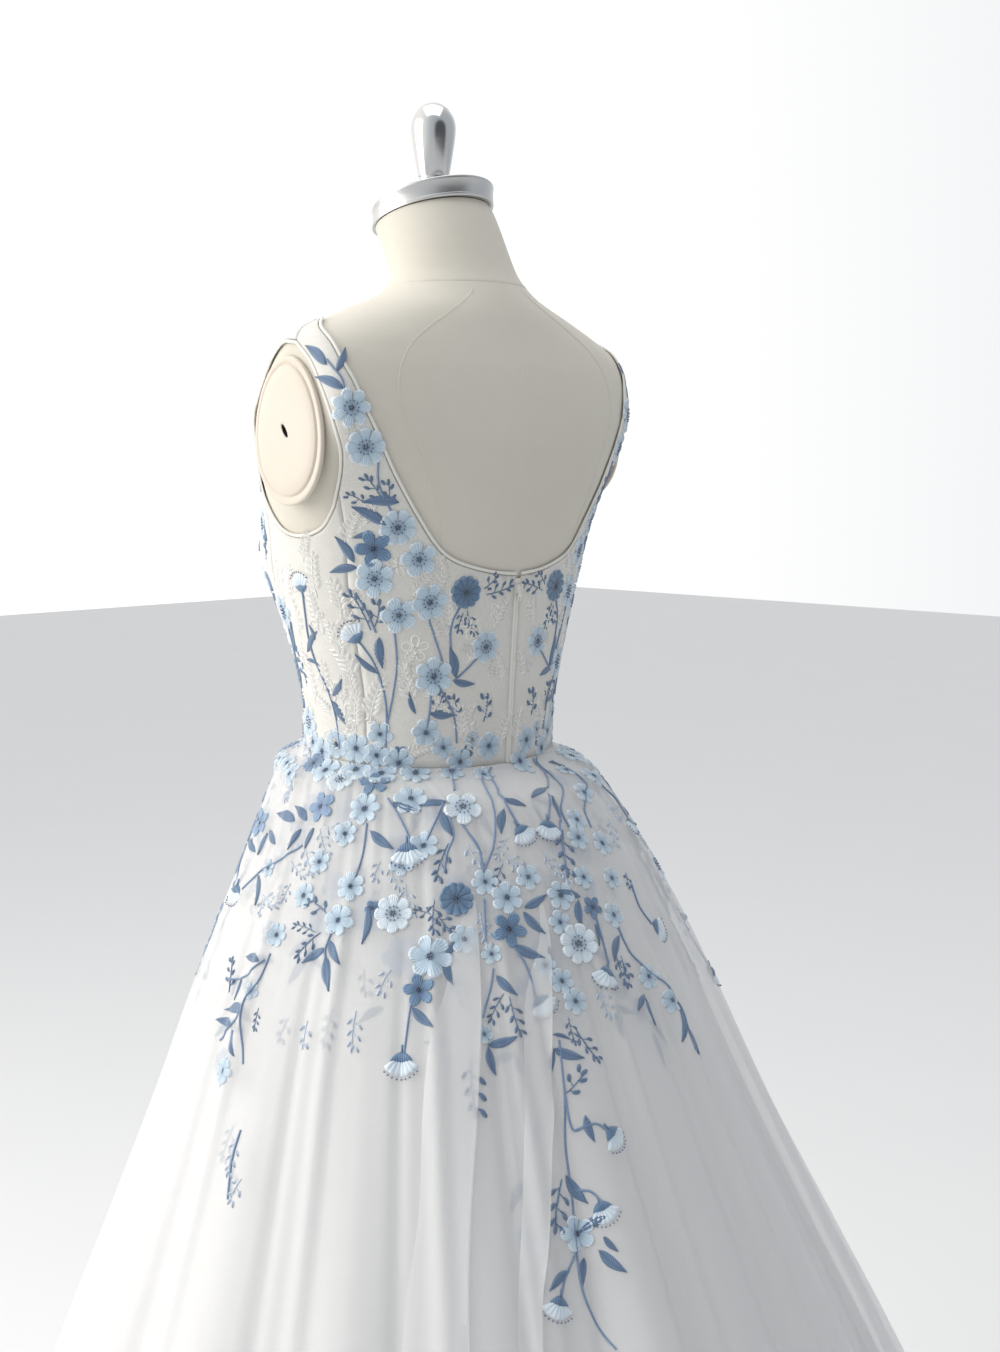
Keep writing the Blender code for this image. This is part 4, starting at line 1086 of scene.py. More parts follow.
def zip_fastening():
    """Two lips of tape that meet over the closed coil, the slider and its pull tab."""
    low = ZIP_BOTTOM + 2 * GAP
    rows = 220
    profile = (
        (-1, 0), (-1, 0.35), (-0.86, 0.72), (-0.5, 0.98), (-0.2, 0.86), (-0.05, 0.45), (0.05, 0.45),
        (0.2, 0.86), (0.5, 0.98), (0.86, 0.72), (1, 0.35), (1, 0),
    )
    size = len(profile)
    points, uvs = [], []
    for row in range(rows + 1):
        height = low + (ZIP_TOP - low) * row / rows
        lifted = on_form(0, height, BODICE_CLEARANCE)
        normal = outward(form_point, 0, height)
        for across, up in profile:
            points.append(lifted + Vector(((ZIP_HALF_WIDTH - GAP) * across, 0, 0)) + normal * (ZIP_WALL * up))
            uvs.append((across * 0.003, height))
    lips = add_mesh("zip_lips", points, ring_faces(rows + 1, size), BINDING, 70.0, uvs)
    tape = piece(lips, ("zip_coil",))

    lift = BODICE_CLEARANCE + ZIP_WALL + GAP
    place = on_form(0, SLIDER_HEIGHT, lift)
    normal = outward(form_point, 0, SLIDER_HEIGHT)
    tilt = math.atan2(normal.z, normal.y)
    turn = Matrix.Translation(place) @ Matrix.Rotation(tilt, 4, "X")
    half, inner = SLIDER_WIDTH / 2, CHANNEL_WIDTH / 2
    outline = (
        (-half, 0), (half, 0), (half, SLIDER_DEPTH), (inner, SLIDER_DEPTH),
        (inner, CHANNEL_FLOOR), (-inner, CHANNEL_FLOOR), (-inner, SLIDER_DEPTH), (-half, SLIDER_DEPTH),
    )
    tall = SLIDER_TALL / 2
    points = [(x, y, z) for z in (-tall, tall) for x, y in outline]
    count = len(outline)
    faces = [tuple(reversed(range(count))), tuple(range(count, 2 * count))]
    for index in range(count):
        after = (index + 1) % count
        faces.append((index, after, after + count, index + count))
    slider = add_mesh("zip_slider_body", points, faces, ENAMEL, 30.0)
    soften(slider, 0.00035, 3)
    slider.data.transform(turn)
    piece(slider, ("zip_slider",))

    neck, wide, tip = TAB_NECK_WIDTH / 2, TAB_WIDTH / 2, -TAB_LENGTH
    shoulder = -SLIDER_TALL * 0.75
    steps = 10
    right = [(neck, TAB_TOP), (neck, shoulder), (wide, shoulder - 0.0012)]
    for step in range(steps + 1):
        t = math.pi / 2 * step / steps
        right.append((wide * math.cos(t), tip + wide - wide * math.sin(t)))
    loop = right + [(-x, z) for x, z in reversed(right[:-1])]
    hole_radius, turns = 0.0011, [2 * math.pi * k / 20 for k in range(20)]
    hole = [(hole_radius * math.cos(t), tip + wide + hole_radius * math.sin(t)) for t in turns]
    tab = plate_with_hole("zip_pull_tab_body", loop, hole, TAB_THICKNESS / 2, ENAMEL)
    soften(tab, 0.00018, 2)
    hinge_out, hinge_up = CHANNEL_FLOOR + GAP + TAB_TOP, SLIDER_TALL / 4
    tab.data.transform(turn @ Matrix.Translation((0, hinge_out, hinge_up)))
    piece(tab, ("zip_pull_tab",), TAB)
    return tape


def soften(thing, width, segments):
    """Round a hard piece's edges."""
    edge = thing.modifiers.new("rounded", "BEVEL")
    edge.width = width
    edge.segments = segments
    edge.limit_method = "ANGLE"
    edge.angle_limit = math.radians(35)
    return settle(thing)


def plate_with_hole(name, loop, hole, thick, finish):
    """A flat plate of a given outline with a round hole near its tip."""
    curve = bpy.data.curves.new(name, "CURVE")
    curve.dimensions = "2D"
    curve.fill_mode = "BOTH"
    curve.extrude = thick
    for outline in (loop, hole):
        line = curve.splines.new("POLY")
        line.points.add(len(outline) - 1)
        line.use_cyclic_u = True
        for point, (x, z) in zip(line.points, outline):
            point.co = (x, z, 0, 1)
    source = new_object(name + "_outline", curve)
    bpy.context.view_layer.update()
    graph = bpy.context.evaluated_depsgraph_get()
    mesh = bpy.data.meshes.new_from_object(source.evaluated_get(graph), depsgraph=graph)
    bpy.data.objects.remove(source)
    mesh.transform(Matrix.Rotation(math.pi / 2, 4, "X"))
    thing = new_object(name, mesh)
    mesh.name = name
    weld = thing.modifiers.new("joined", "WELD")
    weld.merge_threshold = 0.00001
    return dress_in(settle(thing), finish)


zip_tape = zip_fastening()


# The skirt.


def skirt_layer(name, spokes, drops, point_at, finish, wall):
    """One skirt layer as a tube of cloth from the waist seam to the hem."""
    hem = HEM_Z - WAIST_Z
    points, uvs = [], []
    for drop in drops:
        for k in range(spokes + 1):
            angle = 2 * math.pi * k / spokes
            top = seam_height(math.degrees(angle))
            height = top + (hem - top) * drop / drops[-1]
            if k < spokes:
                points.append(point_at(angle, height))
            uvs.append((angle * SKIRT_ROUND, drop))
    faces, corners = [], []
    for row in range(len(drops) - 1):
        for k in range(spokes):
            a, b = row * spokes + k, row * spokes + (k + 1) % spokes
            faces.append((a, b, b + spokes, a + spokes))
            low = row * (spokes + 1) + k
            corners.append((low, low + 1, low + spokes + 2, low + spokes + 1))
    mesh = bpy.data.meshes.new(name)
    mesh.from_pydata([tuple(point) for point in points], [], faces)
    layer = mesh.uv_layers.new(name="cloth")
    for polygon, four in zip(mesh.polygons, corners):
        for loop, corner in zip(polygon.loop_indices, four):
            layer.data[loop].uv = uvs[corner]
    mesh.shade_smooth()
    mesh.materials.append(finish)
    thing = new_object(name, mesh)
    return thicken(thing, wall)


def stepped(first, last, count, power):
    """Drops from the waist that grow towards the hem."""
    return [first + (last - first) * (step / count) ** power for step in range(count + 1)]


def inner_tulle_point(angle, height):
    """A point of the under layer of tulle, with its own softer folds."""
    degrees = math.degrees(angle)
    inset = 0.008 + 0.014 * ease(-height, 0.02, 0.5)
    extra = 0.6 * crease_rise(degrees + 7.0, height) + gather_rise(angle + 0.3, height, 0.0009)
    radius_folds = 0.6 * fold_rise(degrees + 5.0, height)
    return skirt_point(angle, height, inset, OVERSKIRT_LIFT - 0.0009, False, extra + radius_folds)


def lining_point(angle, height):
    """A point of the ivory lining."""
    inset = smooth_row(LINING_INSET_ROWS, height)[0]
    extra = 0.25 * fold_rise(math.degrees(angle) - 4.0, height) + gather_rise(angle + 0.7, height, 0.0005)
    return skirt_point(angle, height, inset, LINING_LIFT, False, extra)


def loose_fold(name, rows):
    """A flat fold that lies over the outer tulle, sheer and closed, and crisp along its free edge."""
    across, steps = 8, 150
    top, hem = rows[-1][0], HEM_Z - WAIST_Z
    points, uvs = [], []
    for step in range(steps + 1):
        height = top + (hem - top) * step / steps
        soft, free = smooth_row(rows, height)
        grown = ease(top - height, 0, 0.12)
        ring = [(k / across, 0.0010 + 0.0045 * (k / across) ** 0.8 * grown) for k in range(across + 1)]
        ring.append((1 + 0.03 * grown, 0.0010 + 0.0032 * grown))
        ring += [(k / across, 0.0006 + 0.0016 * grown * k / across) for k in range(across, -1, -1)]
        for part, lift in ring:
            angle = math.radians(soft + (free - soft) * part)
            points.append(tulle_point(angle, height) + outward(tulle_point, angle, height, 0.004) * lift)
            uvs.append((angle * SKIRT_ROUND, -height))
    return add_mesh(name, points, ring_faces(steps + 1, len(ring)), OUTER_TULLE, 50.0, uvs)


# Real cloth is thinner than the solids' 1 mm.
TULLE_WALL, LINING_WALL = 0.0004, 0.0008
TOP_DROPS = [0.0, 0.002, 0.005, 0.009, 0.014, 0.020]
DROPS = TOP_DROPS + stepped(0.027, 1.038, 92, 1.25)
COARSE_DROPS = DROPS[::2] + [DROPS[-1]] * (len(DROPS) % 2 == 0)
tulle = skirt_layer("outer_tulle_cloth", 432, DROPS, tulle_point, OUTER_TULLE, TULLE_WALL)
piece(tulle, ("tulle_overskirt",))
under_tulle = skirt_layer("inner_tulle_cloth", 288, COARSE_DROPS, inner_tulle_point, INNER_TULLE, TULLE_WALL)
piece(under_tulle)
lining = skirt_layer("lining_cloth", 180, COARSE_DROPS, lining_point, SATIN, LINING_WALL)
piece(lining, ("skirt_lining",))


# Sewn-on flowers, leaves, buds, twigs and lace.


def pile_of(points, faces, uvs, name):
    """A motif's mesh in its own flat plane, with a UV map of its stitches."""
    mesh = bpy.data.meshes.new(name)
    mesh.from_pydata(points, [], faces)
    mesh.shade_smooth()
    layer = mesh.uv_layers.new(name="stitches")
    for loop in mesh.loops:
        layer.data[loop.index].uv = uvs[loop.vertex_index]
    return bpy.data.objects.new(name, mesh)


def flower_motif(name, lobes, depth, sharp, pile, radius=0.0155):
    """A flower of satin-stitched petals with raised rims."""
    rings = (
        (0.1, 0.5), (0.3, 0.62), (0.52, 0.85), (0.72, 0.95), (0.84, 0.85), (0.93, 1.35), (1, 0.85),
        (1.02, -0.3),
    )
    around = lobes * 8
    points, uvs = [(0, 0, 0.5 * pile)], [(0, 0)]
    for ring, rise in rings:
        for k in range(around):
            way = 2 * math.pi * k / around
            lobe = abs(math.sin(lobes * way / 2)) ** sharp
            reach = radius * ring * (1 - depth * (1 - lobe) * ring)
            valley = 1 - 0.80 * (1 - lobe) * ring
            up = pile * rise * (valley if rise > 0 else 1)
            points.append((reach * math.sin(way), reach * math.cos(way), up))
            uvs.append((k * 0.75, min(ring, 1.0) * (0.30 + 0.70 * min(1.5 * lobe, 1.0))))
    faces = [(0, 1 + (k + 1) % around, 1 + k) for k in range(around)]
    faces += grid_faces(len(rings), around, ring=True, first=1)
    return pile_of(points, flipped(faces), uvs, name)


def leaf_motif(name, length=0.022, width=0.0072, bend=0.10):
    """A pointed leaf with stitches slanting off its midrib. It grows along +Y from its stalk."""
    rows, columns = 12, 6
    points, uvs = [], []
    for row in range(rows + 1):
        t = row / rows
        half = width / 2 * math.sin(math.pi * t ** 0.8) ** 0.85 if 0 < row < rows else 0.0002
        for column in range(columns + 1):
            s = 2 * column / columns - 1
            x = half * s + bend * length * math.sin(math.pi * t) * 0.5
            rise = 0.0011 * (1 - abs(s) ** 2.5) - (0.0005 if column == columns // 2 else 0)
            if abs(s) == 1:
                rise = -0.0003
            points.append((x, length * t, rise))
            uvs.append((row * 1.5 + abs(s) * 1.3, 0.30 + 0.62 * abs(s)))
    return pile_of(points, flipped(grid_faces(rows + 1, columns + 1)), uvs, name)


def grain(points, faces, uvs, x, y, turn, length, width, rise):
    """A small padded oval, added to a motif."""
    first = len(points)
    rings = ((0.0, 1.0), (0.62, 0.8), (1.0, -0.25))
    spokes = 8
    for ring, up in rings[1:]:
        for k in range(spokes):
            way = 2 * math.pi * k / spokes
            along, across = length / 2 * ring * math.cos(way), width / 2 * ring * math.sin(way)
            points.append((x + across * math.cos(turn) + along * math.sin(turn),
                           y - across * math.sin(turn) + along * math.cos(turn), rise * up))
            uvs.append((k * 0.5, 0.35 + 0.5 * ring))
    points.append((x, y, rise))
    uvs.append((0, 0.2))
    top = len(points) - 1
    for k in range(spokes):
        a, b = first + k, first + (k + 1) % spokes
        faces.append((top, b, a))
        faces.append((a, b, b + spokes, a + spokes))


def ridge(points, faces, uvs, path, width, rise):
    """A thread laid along a path in a motif's plane."""
    first = len(points)
    for index, (x, y) in enumerate(path):
        before, after = path[max(index - 1, 0)], path[min(index + 1, len(path) - 1)]
        dx, dy = after[0] - before[0], after[1] - before[1]
        size = math.hypot(dx, dy) or 1
        for aside, up in ((-1, -0.0003), (-0.45, rise * 0.8), (0.45, rise * 0.8), (1, -0.0003)):
            points.append((x + dy / size * width / 2 * aside, y - dx / size * width / 2 * aside, up))
            uvs.append((index * 0.8, 0.6))
    for row in range(len(path) - 1):
        for column in range(3):
            a = first + row * 4 + column
            faces.append((a, a + 1, a + 5, a + 4))


def twig_motif(name, grains, length=0.030, wide=0.0030, spread=0.0046):
    """A little branch with padded buds on both sides."""
    points, faces, uvs = [], [], []
    stalk = [(0.0016 * math.sin(2.2 * t / 8), length * 0.86 * t / 8) for t in range(9)]
    ridge(points, faces, uvs, stalk, 0.0010, 0.0007)
    for index in range(grains):
        t = 0.22 + 0.70 * index / (grains - 1)
        side = -1 if index % 2 else 1
        slant = side * (0.75 - 0.25 * t)
        reach = spread * (1.15 - 0.5 * t)
        joint = [(0.0012 * t, length * (t - 0.08)), (side * reach * 0.55, length * t)]
        ridge(points, faces, uvs, joint, 0.0008, 0.0006)
        grain(points, faces, uvs, side * reach, length * (t + 0.05), slant, 0.0062, wide, 0.0011)
    grain(points, faces, uvs, 0.0012, length * 0.96, 0.1, 0.0066, wide, 0.0011)
    return pile_of(points, faces, uvs, name)


def bud_motif(name):
    """A bud's dark cap on a short stalk, with a pointed end on each side."""
    points, faces, uvs = [], [], []
    for row in range(9):
        t = -1 + 2 * row / 8
        x = 0.0078 * t
        low = 0.0008 + 0.0052 * t * t
        high = 0.0092 - 0.0018 * t * t
        for column in range(5):
            s = column / 4
            rise = 0.0016 * math.sin(math.pi * min(max(s, 0.04), 0.96)) ** 0.6 * (1 - 0.5 * t * t)
            points.append((x, low + (high - low) * s, rise if 0 < column < 4 else -0.0003))
            uvs.append((row * 1.1, 0.25 + 0.5 * abs(t)))
    faces += grid_faces(9, 5)
    ridge(points, faces, uvs, [(0, -0.0040), (0, 0.0012)], 0.0018, 0.0009)
    return pile_of(points, faces, uvs, name)


def fan_motif(name):
    """The bud's pale fan of rays."""
    points, uvs = [], []
    rings = ((0.0062, 0.7), (0.0095, 1.0), (0.0135, 1.0), (0.0158, 0.8), (0.0164, -0.3))
    columns = 28
    for reach, rise in rings:
        for column in range(columns + 1):
            way = math.radians(-58 + 116 * column / columns)
            rib = 1.0 if column % 4 == 2 else 0.78 if column % 2 else 0.45
            edge = -0.3 if column in (0, columns) else rise * (rib if rise > 0 else 1)
            points.append((reach * math.sin(way) * 0.92, 0.0022 + reach * math.cos(way), 0.0012 * edge))
            uvs.append((column * 0.25, 0.3 + 0.6 * reach / 0.0164))
    return pile_of(points, flipped(grid_faces(len(rings), columns + 1)), uvs, name)


def bead_motif(name, places, size):
    """Small round beads at the given places, as one mesh."""
    points, faces, uvs = [], [], []
    for x, y in places:
        first = len(points)
        for ring, rise in ((0.85, 0.45), (0.75, 1.35)):
            for k in range(6):
                way = 2 * math.pi * (k + (0.5 if rise > 1 else 0)) / 6
                points.append((x + size * ring * math.sin(way), y + size * ring * math.cos(way), size * rise))
                uvs.append((0, 0.5))
        points.append((x, y, size * 1.75))
        uvs.append((0, 0.5))
        top = len(points) - 1
        for k in range(6):
            a, b = first + k, first + (k + 1) % 6
            faces.append((a, b, b + 6))
            faces.append((a, b + 6, a + 6))
            faces.append((top, a + 6, b + 6))
    return pile_of(points, flipped(faces), uvs, name)


def fern_motif(name, pairs, length=0.034, lean=0.25):
    """An ivory lace frond: a bent rib with narrow leaflets."""
    points, faces, uvs = [], [], []
    rib = [(lean * length * (t / 10) ** 2, length * t / 10) for t in range(11)]
    ridge(points, faces, uvs, rib, 0.0009, 0.0005)
    for index in range(pairs):
        t = 0.15 + 0.8 * index / pairs
        x, y = lean * length * t * t, length * t
        size = 0.0112 * (1 - 0.50 * t)
        for side in (-1, 1):
            turn = side * 0.85 + lean * 2 * t * 0.8
            out_x, out_y = math.sin(turn) * size * 0.55, math.cos(turn) * size * 0.55
            grain(points, faces, uvs, x + out_x, y + out_y, turn, size, 0.0028, 0.0009)
    return pile_of(points, faces, uvs, name)


def outline_motif(name, petals, radius=0.0115):
    """An ivory lace flower whose petals are only outlined with thread."""
    points, faces, uvs = [], [], []
    for k in range(petals):
        middle = 2 * math.pi * k / petals
        path = []
        for step in range(13):
            t = -1 + 2 * step / 12
            reach = radius * (0.18 + 0.82 * math.cos(math.pi / 2 * t) ** 0.55)
            way = middle + t * 0.92 * math.pi / petals
            path.append((reach * math.sin(way), reach * math.cos(way)))
        ridge(points, faces, uvs, path, 0.0013, 0.0007)
    grain(points, faces, uvs, 0, 0, 0, 0.0036, 0.0036, 0.0008)
    return pile_of(points, faces, uvs, name)


def circle_places(count, radius, start=0.0):
    """Places spread evenly round a circle."""
    turns = [start + 2 * math.pi * k / count for k in range(count)]
    return [(radius * math.sin(turn), radius * math.cos(turn)) for turn in turns]


MOTIFS = {
    "five": flower_motif("motif_five", 5, 0.42, 0.55, 0.0013),
    "six": flower_motif("motif_six", 6, 0.36, 0.55, 0.0013),
    "seven": flower_motif("motif_seven", 7, 0.40, 0.60, 0.0013),
    "eight": flower_motif("motif_eight", 8, 0.20, 0.50, 0.0012),
    "star": flower_motif("motif_star", 5, 0.52, 0.9, 0.0014),
    "round": flower_motif("motif_round", 11, 0.12, 0.6, 0.0018, 0.0135),
    "leaf": leaf_motif("motif_leaf"),
    "slim": leaf_motif("motif_slim", 0.024, 0.0056, -0.14),
    "twig": twig_motif("motif_twig", 6),
    "sprig": twig_motif("motif_sprig", 4, 0.020, 0.0034, 0.0050),
    "bud": bud_motif("motif_bud"),
    "fan": fan_motif("motif_fan"),
    "heart": bead_motif("motif_heart", [(0, 0)] + circle_places(6, 0.0022), 0.0008),
    "ring": bead_motif("motif_ring", circle_places(5, 0.0022) + circle_places(11, 0.0056, 0.2), 0.0008),
    "rays": bead_motif("motif_rays", [(0.0168 * math.sin(t / 5), 0.0024 + 0.0182 * math.cos(t / 5))
                                      for t in range(-4, 5)], 0.0009),
    "fern": fern_motif("motif_fern", 6),
    "fern_left": fern_motif("motif_fern_left", 5, 0.028, -0.3),
    "outline": outline_motif("motif_outline", 5),
}


def scatter_tree():
    """Sets a motif on each point, lays it on the cloth below it, and gives it its thread."""
    tree = bpy.data.node_groups.new("sewn_on_motifs", "GeometryNodeTree")
    face = tree.interface
    face.new_socket("Places", in_out="INPUT", socket_type="NodeSocketGeometry")
    kinds = {"Motif": "Object", "Cloth": "Object", "Lift": "Float", "Thread": "Material"}
    for label, kind in kinds.items():
        face.new_socket(label, in_out="INPUT", socket_type="NodeSocket" + kind)
    face.new_socket("Embroidery", in_out="OUTPUT", socket_type="NodeSocketGeometry")
    start, end = node(tree, "NodeGroupInput"), node(tree, "NodeGroupOutput")

    def named(label, kind):
        made = node(tree, "GeometryNodeInputNamedAttribute", data_type=kind)
        made.inputs["Name"].default_value = label
        return [s for s in made.outputs if s.enabled and s.name == "Attribute"][0]

    motif = node(tree, "GeometryNodeObjectInfo")
    link(tree, start.outputs["Motif"], motif.inputs["Object"])
    flat = node(tree, "ShaderNodeSeparateXYZ")
    link(tree, node(tree, "GeometryNodeInputPosition").outputs[0], flat.inputs[0])
    store = node(tree, "GeometryNodeStoreNamedAttribute", data_type="FLOAT", domain="POINT")
    store.inputs["Name"].default_value = "pile"
    link(tree, motif.outputs["Geometry"], store.inputs["Geometry"])
    link(tree, flat.outputs["Z"], [s for s in store.inputs if s.enabled and s.name == "Value"][0])
    spread = node(tree, "GeometryNodeInstanceOnPoints")
    link(tree, start.outputs["Places"], spread.inputs["Points"])
    link(tree, store.outputs["Geometry"], spread.inputs["Instance"])
    link(tree, named("turning", "FLOAT_VECTOR"), spread.inputs["Rotation"])
    link(tree, named("size", "FLOAT"), spread.inputs["Scale"])
    joined = node(tree, "GeometryNodeRealizeInstances")
    link(tree, spread.outputs["Instances"], joined.inputs["Geometry"])
    facing = named("facing", "FLOAT_VECTOR")
    above = node(tree, "ShaderNodeVectorMath", operation="MULTIPLY_ADD")
    link(tree, facing, above.inputs[0])
    above.inputs[1].default_value = (0.03, 0.03, 0.03)
    link(tree, node(tree, "GeometryNodeInputPosition").outputs[0], above.inputs[2])
    down = node(tree, "ShaderNodeVectorMath", operation="SCALE")
    link(tree, facing, down.inputs[0])
    down.inputs["Scale"].default_value = -1.0
    cloth = node(tree, "GeometryNodeObjectInfo")
    link(tree, start.outputs["Cloth"], cloth.inputs["Object"])
    drop = node(tree, "GeometryNodeRaycast")
    link(tree, cloth.outputs["Geometry"], drop.inputs["Target Geometry"])
    link(tree, above.outputs[0], drop.inputs["Source Position"])
    link(tree, down.outputs[0], drop.inputs["Ray Direction"])
    drop.inputs["Ray Length"].default_value = 0.06
    height = value_of(tree, "MULTIPLY", named("pile", "FLOAT"), named("size", "FLOAT"))
    height = value_of(tree, "ADD", height, start.outputs["Lift"])
    raised = node(tree, "ShaderNodeVectorMath", operation="SCALE")
    link(tree, facing, raised.inputs[0])
    link(tree, height, raised.inputs["Scale"])
    landed = node(tree, "ShaderNodeVectorMath", operation="ADD")
    link(tree, drop.outputs["Hit Position"], landed.inputs[0])
    link(tree, raised.outputs[0], landed.inputs[1])
    laid = node(tree, "GeometryNodeSetPosition")
    link(tree, joined.outputs["Geometry"], laid.inputs["Geometry"])
    link(tree, drop.outputs["Is Hit"], laid.inputs["Selection"])
    link(tree, landed.outputs[0], laid.inputs["Position"])
    painted = node(tree, "GeometryNodeSetMaterial")
    link(tree, laid.outputs["Geometry"], painted.inputs["Geometry"])
    link(tree, start.outputs["Thread"], painted.inputs["Material"])
    link(tree, painted.outputs["Geometry"], end.inputs["Embroidery"])
    return tree


SCATTER = scatter_tree()


def run_tree(thing, tree, settings):
    """Give an object a tree with its named inputs, and turn the result into a plain mesh."""
    modifier = thing.modifiers.new(tree.name, "NODES")
    modifier.node_group = tree
    for item in tree.interface.items_tree:
        if item.item_type == "SOCKET" and item.in_out == "INPUT" and item.name in settings:
            modifier[item.identifier] = settings[item.name]
    return settle(thing)


def sewn(name, motif, places, cloth, finish, lift):
    """One kind of motif at many places on one cloth."""
    mesh = bpy.data.meshes.new(name)
    mesh.from_pydata([tuple(place[0]) for place in places], [], [])
    columns = (("facing", "FLOAT_VECTOR", 1), ("turning", "FLOAT_VECTOR", 2), ("size", "FLOAT", 3))
    for label, kind, index in columns:
        attribute = mesh.attributes.new(label, kind, "POINT")
        for entry, place in zip(attribute.data, places):
            if kind == "FLOAT":
                entry.value = place[index]
            else:
                entry.vector = place[index]
    thing = new_object(name, mesh)
    mesh.materials.append(finish)
    run_tree(thing, SCATTER, {"Motif": MOTIFS[motif], "Cloth": cloth, "Lift": lift, "Thread": finish})
    for extra in [a.name for a in thing.data.attributes if a.name in ("pile", "facing", "turning", "size")]:
        thing.data.attributes.remove(thing.data.attributes[extra])
    return dress_in(thing, finish)


def place_on(point_at, angle, millimetres, turn, size):
    """Where a motif sits, which way it faces, and how it is turned, clockwise as seen from outside."""
    here, height = math.radians(angle), millimetres / 1000
    facing = outward(point_at, here, height, 0.004)
    point = point_at(here, height)
    up = Vector((0, 0, 1))
    up = (up - facing * up.dot(facing)).normalized()
    grows = Matrix.Rotation(-math.radians(turn), 3, facing) @ up
    beside = grows.cross(facing)
    basis = Matrix((beside, grows, facing)).transposed()
    return point, facing, Vector(basis.to_euler()), size


def guide_surface():
    """The bodice's outer face as one surface for the motifs to lie on. It isn't kept."""
    spokes, rows = 240, 110
    points = []
    for row in range(rows + 1):
        height = -0.008 + 0.368 * row / rows
        for k in range(spokes):
            angle = 2 * math.pi * k / spokes
            points.append(on_form(math.degrees(angle), height, BODICE_CLEARANCE + BODICE_WALL))
    mesh = bpy.data.meshes.new("bodice_guide")
    mesh.from_pydata([tuple(point) for point in points], [], grid_faces(rows + 1, spokes, ring=True))
    return bpy.data.objects.new("bodice_guide", mesh)


# Where the motifs go, by motif: angle, height in millimetres from the waist, turn and size. Stems are runs
# of angle and height. The bodice's are mirrored.
BODICE_ICE = {
    "seven": ((53, 288, 10, 1), (13.5, 97, 5, 0.9)),
    "eight": ((52, 259, 20, 1), (46.5, 197, 0, 0.98)),
    "five": ((39, 171, 20, 0.98), (47, 126, 15, 0.98)),
    "six": ((55, 156, 35, 1.05), (35, 136, 50, 1), (35.5, 75, 30, 1.05)),
}
BODICE_SMALL_ICE = {
    "five": ((59.5, 27, 0, 0.72), (32, 15, 0, 0.65), (92, 8, 20, 0.8), (101, 14, 0, 0.7)),
    "eight": ((82, 16, 20, 0.8),),
    "six": (
        (61, 9, 40, 0.75), (39.5, 28, 10, 0.78), (11, 13, 30, 0.78), (71, 14, 10, 0.85),
        (24.5, 2, 10, 0.75), (19, 20, 0, 0.5),
    ),
    "seven": ((51, 3, 0, 0.85),),
}
BODICE_DUSTY = {
    "star": ((55.5, 180, 15, 1),),
    "round": ((21.5, 143, 0, 1),),
    "five": ((50.5, 11, 0, 0.42), (21, 10, 20, 0.36)),
}
BODICE_BUDS = {
    "bud": ((91, 142, -5, 0.9), (64.5, 103, -35, 1)),
}
BODICE_LEAVES = {
    "leaf": (
        (64, 320, -55, 1.25), (58, 315, 15, 0.9), (55.5, 302, -65, 1.1), (45.5, 217, -92, 1.3),
        (50.5, 199, -62, 1.4), (55, 191, -100, 0.8), (63, 169, -35, 1.15), (62, 165, -103, 1.05),
        (56, 108, 175, 1.2), (27.5, 70, 100, 0.9), (26.5, 73, -14, 1.2), (38, 44, 96, 1),
        (83, 57, 38, 0.9), (83, 52, 150, 0.95), (88.5, 104, -15, 0.6),
    ),
    "slim": ((58, 78, -50, 1.05), (44, 44, -15, 0.8), (95.5, 93, 45, 1.1), (98, 86, 105, 0.7)),
}
BODICE_TWIGS = {
    "twig": ((50, 214, -35, 1), (59, 114, -28, 1.2), (21, 128, 158, 0.75), (13.5, 140, 76, 0.95)),
    "sprig": (
        (49, 216, -5, 0.9), (57, 216, -62, 0.8), (57, 117, 8, 1.05), (22.5, 126, -168, 0.8),
        (14.5, 145, 50, 0.8), (37, 43, 28, 0.95), (14, 34, 4, 1.1), (26.5, 40, -12, 0.9),
    ),
}
BODICE_STEMS = (
    ((49, 250), (51, 230), (48.5, 210)), ((55, 301), (56.5, 311), (64, 324)),
    ((36, 124), (34, 106), (31.5, 87)), ((16.5, 89), (22.5, 78), (27.5, 70)),
    ((64, 102), (59.5, 86), (57, 63), (56.5, 36), (57, 16)),
    ((49.5, 114), (50, 86), (53, 61), (56, 38), (57, 16)),
    ((91, 141), (92, 123), (93, 106), (91.5, 87), (86, 62), (82, 36), (80, 12)),
    ((37, 62), (38, 46), (39, 32)), ((63, 143), (59.5, 129), (57, 112)),
    ((26.5, 78), (28, 100), (27, 118), (22.5, 135)), ((36.5, 74), (32, 60), (27.5, 40), (26, 18)),
)
